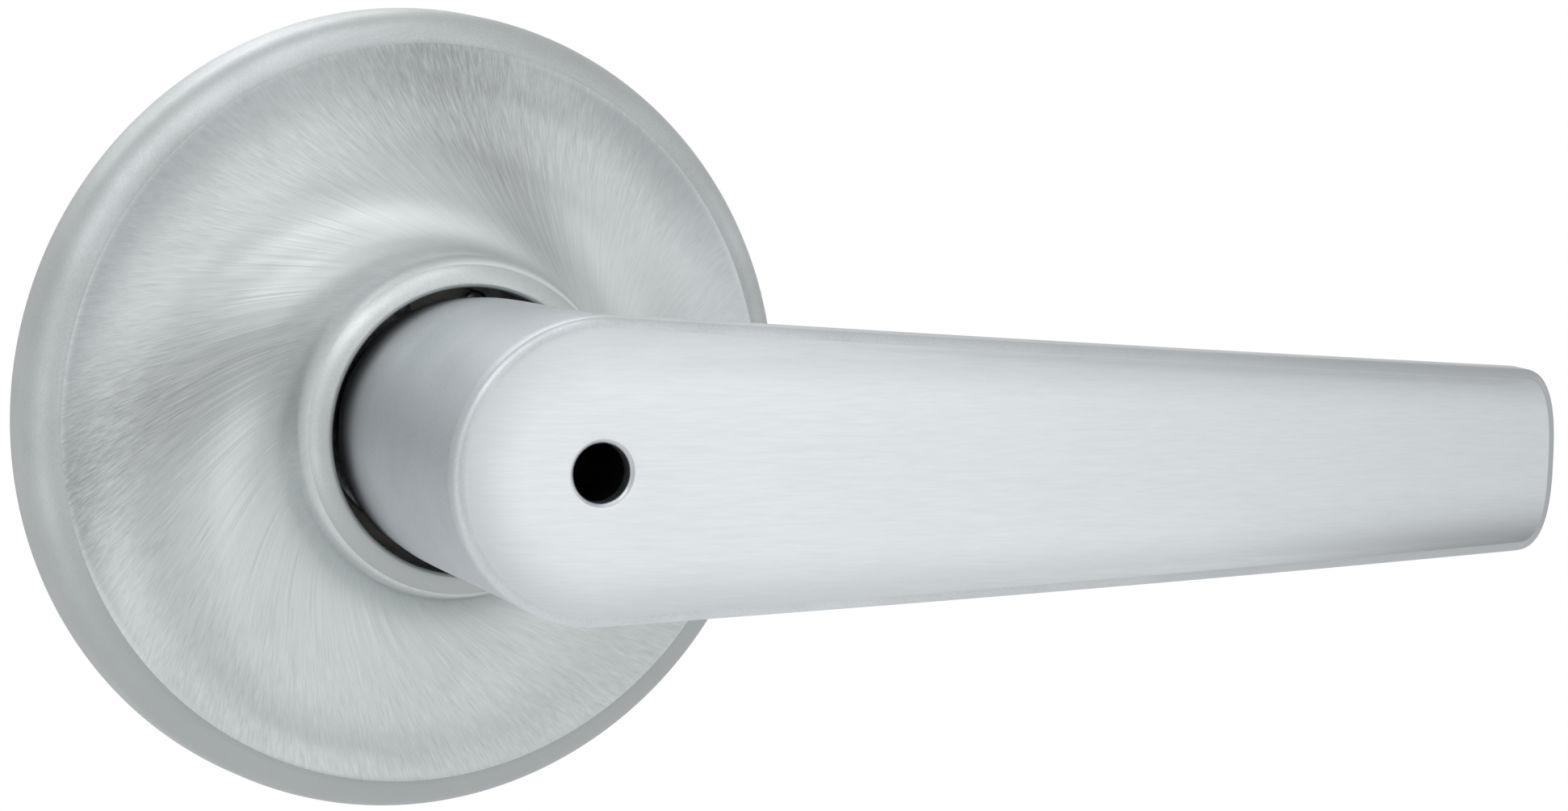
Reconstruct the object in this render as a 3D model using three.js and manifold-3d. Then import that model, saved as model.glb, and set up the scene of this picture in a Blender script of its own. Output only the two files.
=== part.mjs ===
// Door lever handle: the outside half of a privacy set, with its round rose, spring cage, spindle and
// emergency release.
//
// Millimetres, +Z up. The door face is the plane y = 0 and the handle stands out from it along -Y, so
// "height" below means distance from the door face: height = -y. The lever turns about the Y axis.
// Every profile is a list of [radius, height] pairs turned about that axis.

import * as THREE from 'three';
import { mergeVertices } from 'three/addons/utils/BufferGeometryUtils.js';
import Module from 'manifold-3d';

const wasm = await Module();
wasm.setup();

// ---- driving dimensions ----------------------------------------------------------------------------

const WELD = 1e-4;                 // vertices closer than this are one vertex
const OVERCUT = 1;                 // how far a cutter runs past the face it cuts
const GAP = 0.1;                   // between parts that sit against each other
const RUNNING = 0.15;              // radial clearance of a turning or sliding fit

const ROSE_R = 33.5;
const ROSE_WALL = 1.0;
const ROLL = { r: 30.6, h: 2.75, wide: 2.9, high: 3.45, sweep: 80 };   // rolled rim: part of an ellipse
const COLLAR_H = 19.0;             // top of the rose's collar
const COLLAR_HOLE_R = 11.8;
const LIP_R = 1.17;                // rounding of the collar's lip

const PLATE = { r: 31.6, low: 0.1, high: 1.6 };
// The posts stand 38 mm apart, inside the door's 54 mm cross bore.
const POST = { x: 19, r: 4, length: 24, spigotR: 2.0, headR: 2.6, headHigh: 2.3, tapR: 1.6, tapDepth: 16 };

const HOUSING = { r: 16.2, wall: 1.2, low: 1.7, high: 9.0, frontWall: 1.2 };
const EAR = { at: 20.5, r: 3.3, high: 2.9, angles: [45, 135, 225, 315] };
const SCREW = { r: 1.45, headR: 2.6, headHigh: 4.4, holeR: 1.6 };
const CLIP = { angles: [90, 210, 330], width: 7 };

const TUBE = { r: 8.5, bore: 7.3, low: 0.2, high: 35.5 };
const KEY = { width: 3.0, depth: 3.4 };   // slots at the tube's door end that carry the spring driver
const GROOVE = { low: 9.7, high: 10.8, r: 7.95 };
const BUSH = { flangeR: 10.4, flangeLow: 7.0 };
const WASHER = { low: 9.05, high: 9.6, r: 11.2 };

const DRIVER = { r: 10.3, low: 1.9, high: 3.2 };
const TANG_WIDTH = 3.2;            // width of the two tangs between the return spring's legs
const DRIVER_TANG = { inner: 12.9, outer: 13.9, high: 7.0 };
const HOUSING_TANG = { inner: 14.3, low: 3.5 };
const STOP_LUG = { r: 14.3, halfAngle: 14 };
const LEVER_TURN = 50;             // degrees either way
const STOP_SLACK = 2;              // degrees left between lug and stop at the end of the travel
const STOP_BLOCK_ANGLE = 9;

const RETURN_SPRING = { r: 11.6, wireR: 0.65, low: 4.0, high: 6.95, legX: 2.45, legEnd: 14.4, turns: 2 };

const SPINDLE = { square: 7.14, boreR: 2.1, end: -50, headR: 5.6, headLow: 11.3, headHigh: 12.8 };
const HUB = { r: 7.2, low: 1.0, high: 11.2, pinH: 6.0, pinR: 1.0, pinInner: 5.9 };
const PUSH_NUT = { r: 6.4, low: 0.3, high: 0.8 };

const FACE_H = 49.0;               // front face of the blade
const HUB_FACE_R = 12.45;
const LEVER_BORE = { r: 8.7, end: 36.5 };
const NECK_END = 17;               // the neck's door end, inside the collar
const NECK_TOP = 47;               // the neck's other end, inside the blade
const EDGE_R = 0.8;                // rounding of the blade's edges
const RELEASE_HOLE_R = 2.4;

const TIP_X = 87.3;
const TIP_HALF_HEIGHT = 7.4;
const TIP_SPAN = 3.5;              // length of the rounded end
const TIP_POWER = 2.7;             // superellipse power of the rounded end
const BEND_START = 14;             // the blade is flat up to here, then curves back to the door
const BEND_R = 620;
const BLADE_EDGE_T = 4.2;
const BLADE_CROWN = 1.3;           // extra thickness along the blade's middle line
const ROOT_T = 5.0;                // extra thickness where the blade leaves the neck
const ROOT_SPAN = 7;

const GUIDE = { low: 25, high: 28.5, boreR: 2.5 };
const PLUNGER = { r: 2.3, tip: 34.8, flangeR: 5.0, flangeLow: 23.3, flangeHigh: 24.7, stemLow: 18 };
const ROD = { r: 1.75, high: 22.8, end: -47, bladeT: 1.6, bladeLength: 10 };
const RELEASE_SPRING = { r: 3.45, wireR: 0.35, low: 13.2, high: 22.9, turns: 6 };
const SET_SCREW = {
  r: 2.45, holeR: 2.6, height: 31.5, outer: 11.2, inner: 7.6, socketR: 1.45, socketDepth: 2,
};

// ---- finishes --------------------------------------------------------------------------------------

const finish = (color, roughness, metalness) =>
  new THREE.MeshStandardMaterial({ color, roughness, metalness, flatShading: true });

const satinChrome = finish(0xc9cdd0, 0.34, 1.0);
const zincPlate = finish(0xb4b6b2, 0.42, 1.0);
const zincCasting = finish(0x9a9ea1, 0.55, 1.0);
const springSteel = finish(0x7d7f84, 0.35, 1.0);
const acetal = finish(0xe8e4d8, 0.5, 0.0);
const blackOxide = finish(0x2b2c2e, 0.45, 0.8);

// ---- solids ----------------------------------------------------------------------------------------

function signedVolume(position, index) {
  const [a, b, c] = [new THREE.Vector3(), new THREE.Vector3(), new THREE.Vector3()];
  let volume = 0;
  for (let i = 0; i < index.length; i += 3) {
    a.fromBufferAttribute(position, index[i]);
    b.fromBufferAttribute(position, index[i + 1]);
    c.fromBufferAttribute(position, index[i + 2]);
    volume += a.dot(b.cross(c)) / 6;
  }
  return volume;
}

// The same surface with shared vertices, no collapsed triangles and its faces pointing out.
function closed(geometry) {
  const bare = geometry.clone();
  bare.deleteAttribute('normal');
  bare.deleteAttribute('uv');
  const merged = mergeVertices(bare, WELD);
  const index = [];
  for (let i = 0; i < merged.index.count; i += 3) {
    const [a, b, c] = [merged.index.getX(i), merged.index.getX(i + 1), merged.index.getX(i + 2)];
    if (a !== b && b !== c && c !== a) index.push(a, b, c);
  }
  if (signedVolume(merged.attributes.position, index) < 0) index.reverse();
  merged.setIndex(index);
  return merged;
}

function toSolid(geometry) {
  const mesh = closed(geometry);
  return new wasm.Manifold(new wasm.Mesh({
    numProp: 3,
    vertProperties: new Float32Array(mesh.attributes.position.array),
    triVerts: new Uint32Array(mesh.index.array),
  }));
}

function toGeometry(solid) {
  const mesh = solid.getMesh();
  const geometry = new THREE.BufferGeometry();
  geometry.setAttribute('position', new THREE.BufferAttribute(new Float32Array(mesh.vertProperties), 3));
  geometry.setIndex(new THREE.BufferAttribute(new Uint32Array(mesh.triVerts), 1));
  return geometry;
}

const join = (first, ...rest) =>
  toGeometry(rest.reduce((solid, piece) => solid.add(toSolid(piece)), toSolid(first)));

const cut = (first, ...tools) =>
  toGeometry(tools.reduce((solid, tool) => solid.subtract(toSolid(tool)), toSolid(first)));

// ---- shapes ----------------------------------------------------------------------------------------

const radians = THREE.MathUtils.degToRad;

// A profile turned about the Y axis. It starts and ends on the axis, or is closed here on itself.
function turned(profile, segments = 40) {
  const onAxis = profile[0][0] === 0;
  const loop = onAxis ? profile : [...profile, profile[0]];
  return new THREE.LatheGeometry(loop.map(([r, height]) => new THREE.Vector2(r, -height)), segments);
}

const tube = (inner, outer, low, high, segments) =>
  turned([[inner, low], [outer, low], [outer, high], [inner, high]], segments);

const disc = (r, low, high, segments) => turned([[0, low], [r, low], [r, high], [0, high]], segments);

// A flat outline in the X-Z plane, thickened from one height to another.
function plate(shape, low, high, curveSegments = 14) {
  const depth = high - low;
  const geometry = new THREE.ExtrudeGeometry(shape, { depth, bevelEnabled: false, curveSegments });
  return geometry.rotateX(Math.PI / 2).translate(0, -low, 0);
}

function block(x0, x1, low, high, z0, z1) {
  const geometry = new THREE.BoxGeometry(x1 - x0, high - low, z1 - z0);
  return geometry.translate((x0 + x1) / 2, -(low + high) / 2, (z0 + z1) / 2);
}

// A pin that lies along the direction from the axis at the given angle, 0 degrees being +X.
function radialPin(r, inner, outer, height, angle, segments = 20) {
  const pin = new THREE.CylinderGeometry(r, r, outer - inner, segments);
  return pin.rotateZ(-Math.PI / 2).translate((inner + outer) / 2, -height, 0).rotateY(-radians(angle));
}

// Anything made on the +X side, swung round the Y axis so that it lies at the given angle towards +Z.
const swung = (geometry, angle) => geometry.rotateY(-radians(angle));

const circle = (r) => new THREE.Path().absarc(0, 0, r, 0, 2 * Math.PI, false);

function circleAt(x, z, r) {
  return new THREE.Path().absarc(x, z, r, 0, 2 * Math.PI, false);
}

function squarePath(side) {
  const half = side / 2;
  return new THREE.Path([[-half, -half], [half, -half], [half, half], [-half, half]]
    .map(([x, z]) => new THREE.Vector2(x, z)));
}

function arc(centreR, centreH, r, from, to, steps) {
  return Array.from({ length: steps + 1 }, (_, i) => {
    const angle = radians(from + (to - from) * i / steps);
    return [centreR + r * Math.cos(angle), centreH + r * Math.sin(angle)];
  });
}

// Rings of points, all with the same count, skinned into one closed body with flat ends.
function loft(rings) {
  const count = rings[0].length;
  const index = [];
  for (let ring = 0; ring + 1 < rings.length; ring++) {
    for (let i = 0; i < count; i++) {
      const [a, b] = [ring * count + i, ring * count + (i + 1) % count];
      index.push(a, b, b + count, a, b + count, a + count);
    }
  }
  const last = (rings.length - 1) * count;
  for (let i = 1; i + 1 < count; i++) {
    index.push(0, i + 1, i, last, last + i, last + i + 1);
  }
  const geometry = new THREE.BufferGeometry().setFromPoints(rings.flat());
  geometry.setIndex(index);
  return geometry;
}

// Round wire along a list of points.
function wire(points, r, steps, sides = 8) {
  const section = Array.from({ length: sides }, (_, i) => {
    const angle = 2 * Math.PI * i / sides;
    return new THREE.Vector2(r * Math.cos(angle), r * Math.sin(angle));
  });
  const extrudePath = new THREE.CatmullRomCurve3(points);
  return new THREE.ExtrudeGeometry(new THREE.Shape(section), { steps, extrudePath, bevelEnabled: false });
}

// ---- rose and its fixing ---------------------------------------------------------------------------

// The rolled rim's outline from the side round to where the dish starts, at a depth below its outer surface.
function rolledRim(depth, steps) {
  return Array.from({ length: steps + 1 }, (_, i) => {
    const angle = radians(ROLL.sweep * i / steps);
    return [ROLL.r + (ROLL.wide - depth) * Math.cos(angle), ROLL.h + (ROLL.high - depth) * Math.sin(angle)];
  });
}

// The pressed cover: a rolled rim, a dish that sweeps up to the collar, and a rounded lip.
function roseCover() {
  const roll = rolledRim(0, 8);
  const rollEnd = roll[roll.length - 1];
  const lipCentreR = COLLAR_HOLE_R + LIP_R;
  const lip = arc(lipCentreR, COLLAR_H - LIP_R, LIP_R, 0, 180, 6);
  const dish = new THREE.CubicBezierCurve(
    new THREE.Vector2(rollEnd[0], rollEnd[1]),
    new THREE.Vector2(22, 4.3),
    new THREE.Vector2(14.4, 9.5),
    new THREE.Vector2(lip[0][0], lip[0][1]),
  );
  const dishSteps = 10;
  const outer = [];
  const inner = [];
  for (let i = 1; i < dishSteps; i++) {
    const point = dish.getPoint(i / dishSteps);
    const along = dish.getTangent(i / dishSteps);
    outer.push([point.x, point.y]);
    inner.unshift([point.x - along.y * ROSE_WALL, point.y + along.x * ROSE_WALL]);
  }
  const innerRoll = rolledRim(ROSE_WALL, 4).reverse();
  const lipBack = [COLLAR_HOLE_R, COLLAR_H - 2.6];
  return turned([[ROSE_R, 0], ...roll, ...outer, ...lip, lipBack, ...inner, ...innerRoll,
    [ROSE_R - ROSE_WALL, 0]], 48);
}

const earPositions = EAR.angles.map((angle) => [
  EAR.at * Math.cos(radians(angle)), EAR.at * Math.sin(radians(angle))]);

function mountingPlate() {
  const outline = new THREE.Shape().absarc(0, 0, PLATE.r, 0, 2 * Math.PI, false);
  outline.holes.push(circle(TUBE.r + 2 * RUNNING));
  outline.holes.push(circleAt(POST.x, 0, POST.spigotR + GAP), circleAt(-POST.x, 0, POST.spigotR + GAP));
  earPositions.forEach(([x, z]) => outline.holes.push(circleAt(x, z, SCREW.holeR)));
  return plate(outline, PLATE.low, PLATE.high);
}

// A shouldered post staked through the plate, tapped from its door end for a through-screw.
function mountingPost(side) {
  const foot = PLATE.low - GAP;
  const profile = [
    [0, -POST.length + POST.tapDepth], [POST.tapR, -POST.length + POST.tapDepth], [POST.tapR, -POST.length],
    [POST.r - 0.4, -POST.length], [POST.r, -POST.length + 0.4], [POST.r, foot],
    [POST.spigotR, foot], [POST.spigotR, PLATE.high + GAP],
    [POST.headR, PLATE.high + GAP], [POST.headR - 0.4, POST.headHigh], [0, POST.headHigh]];
  return turned(profile, 20).translate(side * POST.x, 0, 0);
}

// A spring clip on the plate's rim that grips the inside of the rose cover.
function coverClip(angle) {
  const outline = [[25.6, 1.7], [31.0, 1.7], [31.9, 2.0], [32.35, 2.6], [31.9, 2.75], [31.45, 2.4],
    [30.7, 2.2], [25.6, 2.2]];
  const shape = new THREE.Shape(outline.map(([r, height]) => new THREE.Vector2(r, height)));
  const strip = new THREE.ExtrudeGeometry(shape, { depth: CLIP.width, bevelEnabled: false });
  strip.translate(0, 0, -CLIP.width / 2).rotateX(Math.PI);
  return swung(strip, angle);
}

// ---- spring cage -----------------------------------------------------------------------------------

function springHousing() {
  const inside = HOUSING.r - HOUSING.wall;
  const front = HOUSING.high - HOUSING.frontWall;
  const bushHole = TUBE.r + RUNNING + 1.2;
  const cup = turned([[inside, HOUSING.low], [HOUSING.r, HOUSING.low], [HOUSING.r, HOUSING.high],
    [bushHole, HOUSING.high], [bushHole, front], [inside, front]]);
  const ears = EAR.angles.map((angle) => {
    const tab = new THREE.Shape();
    tab.moveTo(inside + 0.4, -EAR.r);
    tab.lineTo(EAR.at, -EAR.r);
    tab.absarc(EAR.at, 0, EAR.r, -Math.PI / 2, Math.PI / 2, false);
    tab.lineTo(inside + 0.4, EAR.r);
    tab.holes.push(circleAt(EAR.at, 0, SCREW.holeR));
    return swung(plate(tab, HOUSING.low, EAR.high, 8), angle);
  });
  const tang = block(-TANG_WIDTH / 2, TANG_WIDTH / 2, HOUSING_TANG.low, front + 0.2,
    -inside - 0.4, -HOUSING_TANG.inner);
  const stopFrom = STOP_LUG.halfAngle + LEVER_TURN + STOP_SLACK;
  const stops = [90 - stopFrom - STOP_BLOCK_ANGLE, 90 + stopFrom].map((from) => {
    const shape = new THREE.Shape();
    shape.absarc(0, 0, inside + 0.4, radians(from), radians(from + STOP_BLOCK_ANGLE), false);
    shape.absarc(0, 0, DRIVER.r + 1.2, radians(from + STOP_BLOCK_ANGLE), radians(from), true);
    return plate(shape, HOUSING.low, DRIVER.high, 3);
  });
  return join(cup, ...ears, tang, ...stops);
}

function housingScrew([x, z]) {
  const head = [[0, PLATE.low + GAP], [SCREW.r, PLATE.low + GAP], [SCREW.r, EAR.high + GAP],
    [SCREW.headR, EAR.high + GAP], [SCREW.headR, SCREW.headHigh - 0.6], [SCREW.headR - 0.9, SCREW.headHigh],
    [0, SCREW.headHigh]];
  const slot = (length, width) => block(-length / 2, length / 2, SCREW.headHigh - 0.8,
    SCREW.headHigh + OVERCUT, -width / 2, width / 2);
  return cut(turned(head, 14), slot(2.8, 0.7), slot(0.7, 2.8)).translate(x, 0, z);
}

function bearingBush() {
  const inner = TUBE.r + RUNNING;
  const outer = inner + 1.1;
  const shoulder = HOUSING.high - HOUSING.frontWall - GAP;
  return turned([[inner, BUSH.flangeLow], [BUSH.flangeR, BUSH.flangeLow], [BUSH.flangeR, shoulder],
    [outer, shoulder], [outer, HOUSING.high], [inner, HOUSING.high]], 32);
}

// The plate that turns with the lever: two tongues key into the tube, a lug at the top meets the stops
// and a tang at the bottom stands up between the spring's legs.
function springDriver() {
  const outline = new THREE.Shape().absarc(0, 0, DRIVER.r, 0, 2 * Math.PI, false);
  outline.holes.push(circle(TUBE.r + GAP));
  const body = plate(outline, DRIVER.low, DRIVER.high);
  const lug = new THREE.Shape();
  const half = radians(STOP_LUG.halfAngle);
  lug.absarc(0, 0, STOP_LUG.r, Math.PI / 2 - half, Math.PI / 2 + half, false);
  lug.absarc(0, 0, DRIVER.r - 0.8, Math.PI / 2 + half, Math.PI / 2 - half, true);
  const tongue = (side) => block(Math.min(side * 7.5, side * 9.2), Math.max(side * 7.5, side * 9.2),
    DRIVER.low, DRIVER.high, -KEY.width / 2 + GAP, KEY.width / 2 - GAP);
  const arm = block(-TANG_WIDTH / 2, TANG_WIDTH / 2, DRIVER.low, DRIVER.high, -DRIVER_TANG.outer, -9.4);
  const tang = block(-TANG_WIDTH / 2, TANG_WIDTH / 2, DRIVER.low, DRIVER_TANG.high,
    -DRIVER_TANG.outer, -DRIVER_TANG.inner);
  return join(body, plate(lug, DRIVER.low, DRIVER.high, 4), tongue(1), tongue(-1), arm, tang);
}

// A torsion spring whose two legs straddle the tangs of the driver and the housing.
function returnSpring() {
  const { r, wireR, low, high, legX, legEnd, turns } = RETURN_SPRING;
  const bend = 1.3;                                     // radius of the bend from coil to leg
  const free = Math.asin((legX + bend) / r);            // the coil starts this far from the leg side
  const sweep = 2 * Math.PI * turns - 2 * free;
  const stepsPerTurn = 20;
  const steps = Math.round(stepsPerTurn * turns);
  const leg = (side, height, from, to) => [from, to].map((reach) =>
    new THREE.Vector3(side * legX, -height, -reach));
  const coil = Array.from({ length: steps + 1 }, (_, i) => {
    const angle = -Math.PI / 2 + free + sweep * i / steps;
    return new THREE.Vector3(r * Math.cos(angle), -low - (high - low) * i / steps, r * Math.sin(angle));
  });
  const points = [...leg(1, low, legEnd, r + bend), ...coil, ...leg(-1, high, r + bend, legEnd)];
  return wire(points, wireR, 66, 7);
}

// ---- lever -----------------------------------------------------------------------------------------

// How far the front face has dropped back towards the door at a place along the blade.
function faceDrop(x) {
  const past = Math.max(0, x - BEND_START);
  return BEND_R - Math.sqrt(BEND_R ** 2 - past ** 2);
}

const TAPER = (HUB_FACE_R - TIP_HALF_HEIGHT) / TIP_X;
const TAPER_START = HUB_FACE_R * Math.sin(Math.atan(TAPER));   // where the straight edges leave the circle

// A half-round hub end, straight tapering edges and a superellipse tip.
function bladeHalfHeight(x) {
  if (x < TAPER_START) return Math.sqrt(HUB_FACE_R ** 2 - x ** 2);
  const straight = HUB_FACE_R * Math.hypot(1, TAPER) - TAPER * x;
  const along = Math.max(0, (x - (TIP_X - TIP_SPAN)) / TIP_SPAN);
  return straight * (1 - along ** TIP_POWER) ** (1 / TIP_POWER);
}

function rootThickness(x) {
  const rise = THREE.MathUtils.smoothstep(x, 0, HUB_FACE_R);
  return ROOT_T * rise * Math.exp(-Math.max(0, x - HUB_FACE_R) / ROOT_SPAN);
}

// One cross-section of the blade: flat front, rounded edges, crowned back.
function bladeSection(x) {
  const half = bladeHalfHeight(x);
  const intoEnd = Math.max(0, EDGE_R - Math.min(TIP_X - x, x + HUB_FACE_R));
  const roll = EDGE_R - Math.sqrt(Math.max(0, EDGE_R ** 2 - intoEnd ** 2));
  const root = rootThickness(x);
  const edge = BLADE_EDGE_T - roll;
  const back = edge + root;
  const front = roll;
  const halfRing = [
    [half - EDGE_R, front], [half - 0.3 * EDGE_R, front + 0.3 * EDGE_R], [half, front + EDGE_R],
    [half, edge - EDGE_R], [half - 0.3 * EDGE_R, edge - 0.3 * EDGE_R],
    [half - EDGE_R, edge + 0.1 * root], [0.6 * half, back + 0.6 * BLADE_CROWN],
    [0, back + BLADE_CROWN]];
  const mirrored = halfRing.slice(0, -1).reverse().map(([z, depth]) => [-z, depth]);
  const height = FACE_H - faceDrop(x);
  return [...halfRing, ...mirrored].map(([z, depth]) => new THREE.Vector3(x, -(height - depth), z));
}

function blade() {
  const bodyEnd = TIP_X - TIP_SPAN;
  const hubSteps = 12;
  const bodySteps = 16;
  const tipSteps = 8;
  const endSweep = radians(84);           // each rounded end stops just short of its last point
  const stations = [];
  for (let i = hubSteps; i > 0; i--) stations.push(-HUB_FACE_R * Math.sin(endSweep * i / hubSteps));
  for (let i = 0; i < bodySteps; i++) stations.push(TAPER_START + (bodyEnd - TAPER_START) * i / bodySteps);
  for (let i = 0; i <= tipSteps; i++) stations.push(bodyEnd + TIP_SPAN * Math.sin(endSweep * i / tipSteps));
  return loft(stations.map(bladeSection));
}

function leverHandle() {
  const neck = turned([
    [0, LEVER_BORE.end], [LEVER_BORE.r, LEVER_BORE.end], [LEVER_BORE.r, NECK_END], [10.9, NECK_END],
    [11.0, 18.5], [11.2, 20.5], [11.4, 22.6], [11.55, 25.7], [11.74, 31.2], [12.0, 38], [12.2, 43],
    [12.2, NECK_TOP], [0, NECK_TOP]]);
  const bore = disc(LEVER_BORE.r, NECK_END - OVERCUT, LEVER_BORE.end);
  const releaseHole = turned([[0, LEVER_BORE.end - OVERCUT], [RELEASE_HOLE_R, LEVER_BORE.end - OVERCUT],
    [RELEASE_HOLE_R, FACE_H - 0.3], [RELEASE_HOLE_R + 0.3 + OVERCUT, FACE_H + OVERCUT],
    [0, FACE_H + OVERCUT]], 32);
  const screwHole = radialPin(SET_SCREW.holeR, LEVER_BORE.r - OVERCUT, HUB_FACE_R + OVERCUT,
    SET_SCREW.height, -90);
  return cut(join(neck, blade()), bore, releaseHole, screwHole);
}

function driveTube() {
  const { r, bore, low, high } = TUBE;
  const body = turned([[bore, low], [r, low], [r, GROOVE.low], [GROOVE.r, GROOVE.low],
    [GROOVE.r, GROOVE.high], [r, GROOVE.high], [r, high - 0.5], [r - 0.5, high], [bore, high]], 32);
  const slots = block(-r - OVERCUT, r + OVERCUT, low - OVERCUT, KEY.depth, -KEY.width / 2, KEY.width / 2);
  const screwHole = radialPin(SET_SCREW.holeR, bore - OVERCUT, r + OVERCUT, SET_SCREW.height, -90);
  const pinHoles = [0, 180].map((angle) =>
    radialPin(HUB.pinR + GAP, bore - OVERCUT, r + OVERCUT, HUB.pinH, angle, 16));
  return cut(body, slots, screwHole, ...pinHoles);
}

// An open ring that snaps into the tube's groove, with a small eye at each end for pliers.
function retainingRing() {
  const low = GROOVE.low + GAP;
  const high = GROOVE.high - GAP;
  const halfOpening = radians(14);
  const inner = GROOVE.r + GAP;
  const outer = 9.7;
  const eyeR = 1.05;
  const eyeAt = 10.3;
  const start = Math.PI / 2 + halfOpening;
  const end = Math.PI / 2 - halfOpening + 2 * Math.PI;
  const shape = new THREE.Shape();
  shape.absarc(0, 0, outer, start, end, false);
  shape.absarc(0, 0, inner, end, start, true);
  const eye = (angle) => {
    const around = new THREE.Shape().absarc(eyeAt * Math.cos(angle), eyeAt * Math.sin(angle), eyeR,
      0, 2 * Math.PI, false);
    around.holes.push(circleAt(eyeAt * Math.cos(angle), eyeAt * Math.sin(angle), 0.5));
    return plate(around, low, high, 5);
  };
  const inset = radians(5.5);
  return join(plate(shape, low, high, 16), eye(start + inset), eye(end - inset));
}

function spindleHub() {
  const outline = new THREE.Shape().absarc(0, 0, HUB.r, 0, 2 * Math.PI, false);
  outline.holes.push(squarePath(SPINDLE.square + 2 * GAP));
  const pinHoles = [0, 180].map((angle) =>
    radialPin(HUB.pinR + GAP, HUB.pinInner - GAP, HUB.r + OVERCUT, HUB.pinH, angle, 16));
  return cut(plate(outline, HUB.low, HUB.high, 18), ...pinHoles);
}

const hubPin = (angle) => radialPin(HUB.pinR, HUB.pinInner, TUBE.r - GAP, HUB.pinH, angle, 16);

// A square bar bored through for the release rod, with a round head that stops it in its hub.
function spindle() {
  const { square, boreR, end, headR, headLow, headHigh } = SPINDLE;
  const half = square / 2;
  const bar = block(-half, half, end, headLow + 0.5, -half, half);
  const corner = half * Math.SQRT2;
  const chamfer = turned([[corner + OVERCUT, end - OVERCUT], [corner + OVERCUT, end + 2.2],
    [corner, end + 2.2], [half, end], [half, end - OVERCUT]], 32);
  const bore = disc(boreR, end - OVERCUT, headHigh + OVERCUT, 24);
  return cut(join(bar, disc(headR, headLow, headHigh, 32)), chamfer, bore);
}

// A toothed push-on nut that keeps the spindle from sliding forward out of its hub.
function pushNut() {
  const outline = new THREE.Shape().absarc(0, 0, PUSH_NUT.r, 0, 2 * Math.PI, false);
  outline.holes.push(squarePath(SPINDLE.square + GAP));
  return plate(outline, PUSH_NUT.low, PUSH_NUT.high, 16);
}

function leverSetScrew() {
  const { r, height, outer, inner, socketR, socketDepth } = SET_SCREW;
  const socket = new THREE.CylinderGeometry(socketR, socketR, socketDepth + OVERCUT, 6);
  socket.rotateZ(-Math.PI / 2).translate(outer + (OVERCUT - socketDepth) / 2, -height, 0);
  return cut(radialPin(r, inner, outer, height, -90), swung(socket, -90));
}

// ---- emergency release -----------------------------------------------------------------------------

const releaseGuide = () => tube(GUIDE.boreR, TUBE.bore - GAP, GUIDE.low, GUIDE.high, 32);

function releasePlunger() {
  const { r, tip, flangeR, flangeLow, flangeHigh, stemLow } = PLUNGER;
  const socketR = ROD.r + GAP / 2;
  return turned([[0, ROD.high + GAP], [socketR, ROD.high + GAP], [socketR, stemLow], [r, stemLow],
    [r, flangeLow], [flangeR, flangeLow], [flangeR, flangeHigh], [r, flangeHigh], [r, tip - 0.5],
    [r - 0.5, tip], [0, tip]], 20);
}

// A rod down the middle of the spindle, flattened at its far end to turn or push the inside lock.
function releaseRod() {
  const { r, high, end, bladeT, bladeLength } = ROD;
  const flat = (side) => {
    const [z0, z1] = [side * bladeT / 2, side * (r + OVERCUT)].sort((a, b) => a - b);
    return block(-r - OVERCUT, r + OVERCUT, end - OVERCUT, end + bladeLength, z0, z1);
  };
  return cut(disc(r, end, high, 24), flat(1), flat(-1));
}

function releaseSpring() {
  const { r, wireR, low, high, turns } = RELEASE_SPRING;
  const stepsPerTurn = 12;
  const steps = turns * stepsPerTurn;
  const points = Array.from({ length: steps + 1 }, (_, i) => {
    const angle = 2 * Math.PI * i / stepsPerTurn;
    const height = low + wireR + (high - low - 2 * wireR) * i / steps;
    return new THREE.Vector3(r * Math.cos(angle), -height, r * Math.sin(angle));
  });
  return wire(points, wireR, steps, 5);
}

// ---- assembly --------------------------------------------------------------------------------------

const handle = new THREE.Group();

function part(name, geometry, material) {
  const mesh = new THREE.Mesh(closed(geometry), material);
  mesh.name = name;
  handle.add(mesh);
}

part('rose_cover', roseCover(), satinChrome);
part('mounting_plate', mountingPlate(), zincPlate);
part('mounting_post_right', mountingPost(1), zincPlate);
part('mounting_post_left', mountingPost(-1), zincPlate);
CLIP.angles.forEach((angle, i) => part(`cover_clip_${i + 1}`, coverClip(angle), springSteel));
part('spring_housing', springHousing(), zincCasting);
earPositions.forEach((place, i) => part(`housing_screw_${i + 1}`, housingScrew(place), zincPlate));
part('bearing_bush', bearingBush(), acetal);
part('thrust_washer', tube(TUBE.r + RUNNING, WASHER.r, WASHER.low, WASHER.high, 32), acetal);
part('return_spring', returnSpring(), springSteel);

part('lever_handle', leverHandle(), satinChrome);
part('drive_tube', driveTube(), zincPlate);
part('spring_driver', springDriver(), zincPlate);
part('retaining_ring', retainingRing(), springSteel);
part('spindle_hub', spindleHub(), zincCasting);
part('hub_pin_1', hubPin(0), springSteel);
part('hub_pin_2', hubPin(180), springSteel);
part('spindle', spindle(), zincPlate);
part('spindle_push_nut', pushNut(), springSteel);
part('lever_set_screw', leverSetScrew(), blackOxide);
part('release_guide', releaseGuide(), acetal);

part('release_plunger', releasePlunger(), zincCasting);
part('release_rod', releaseRod(), zincPlate);
part('release_spring', releaseSpring(), springSteel);

export default handle;
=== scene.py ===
import math

import bmesh
import bpy
import numpy as np
from mathutils import Matrix, Vector
from mathutils.geometry import tessellate_polygon

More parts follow.
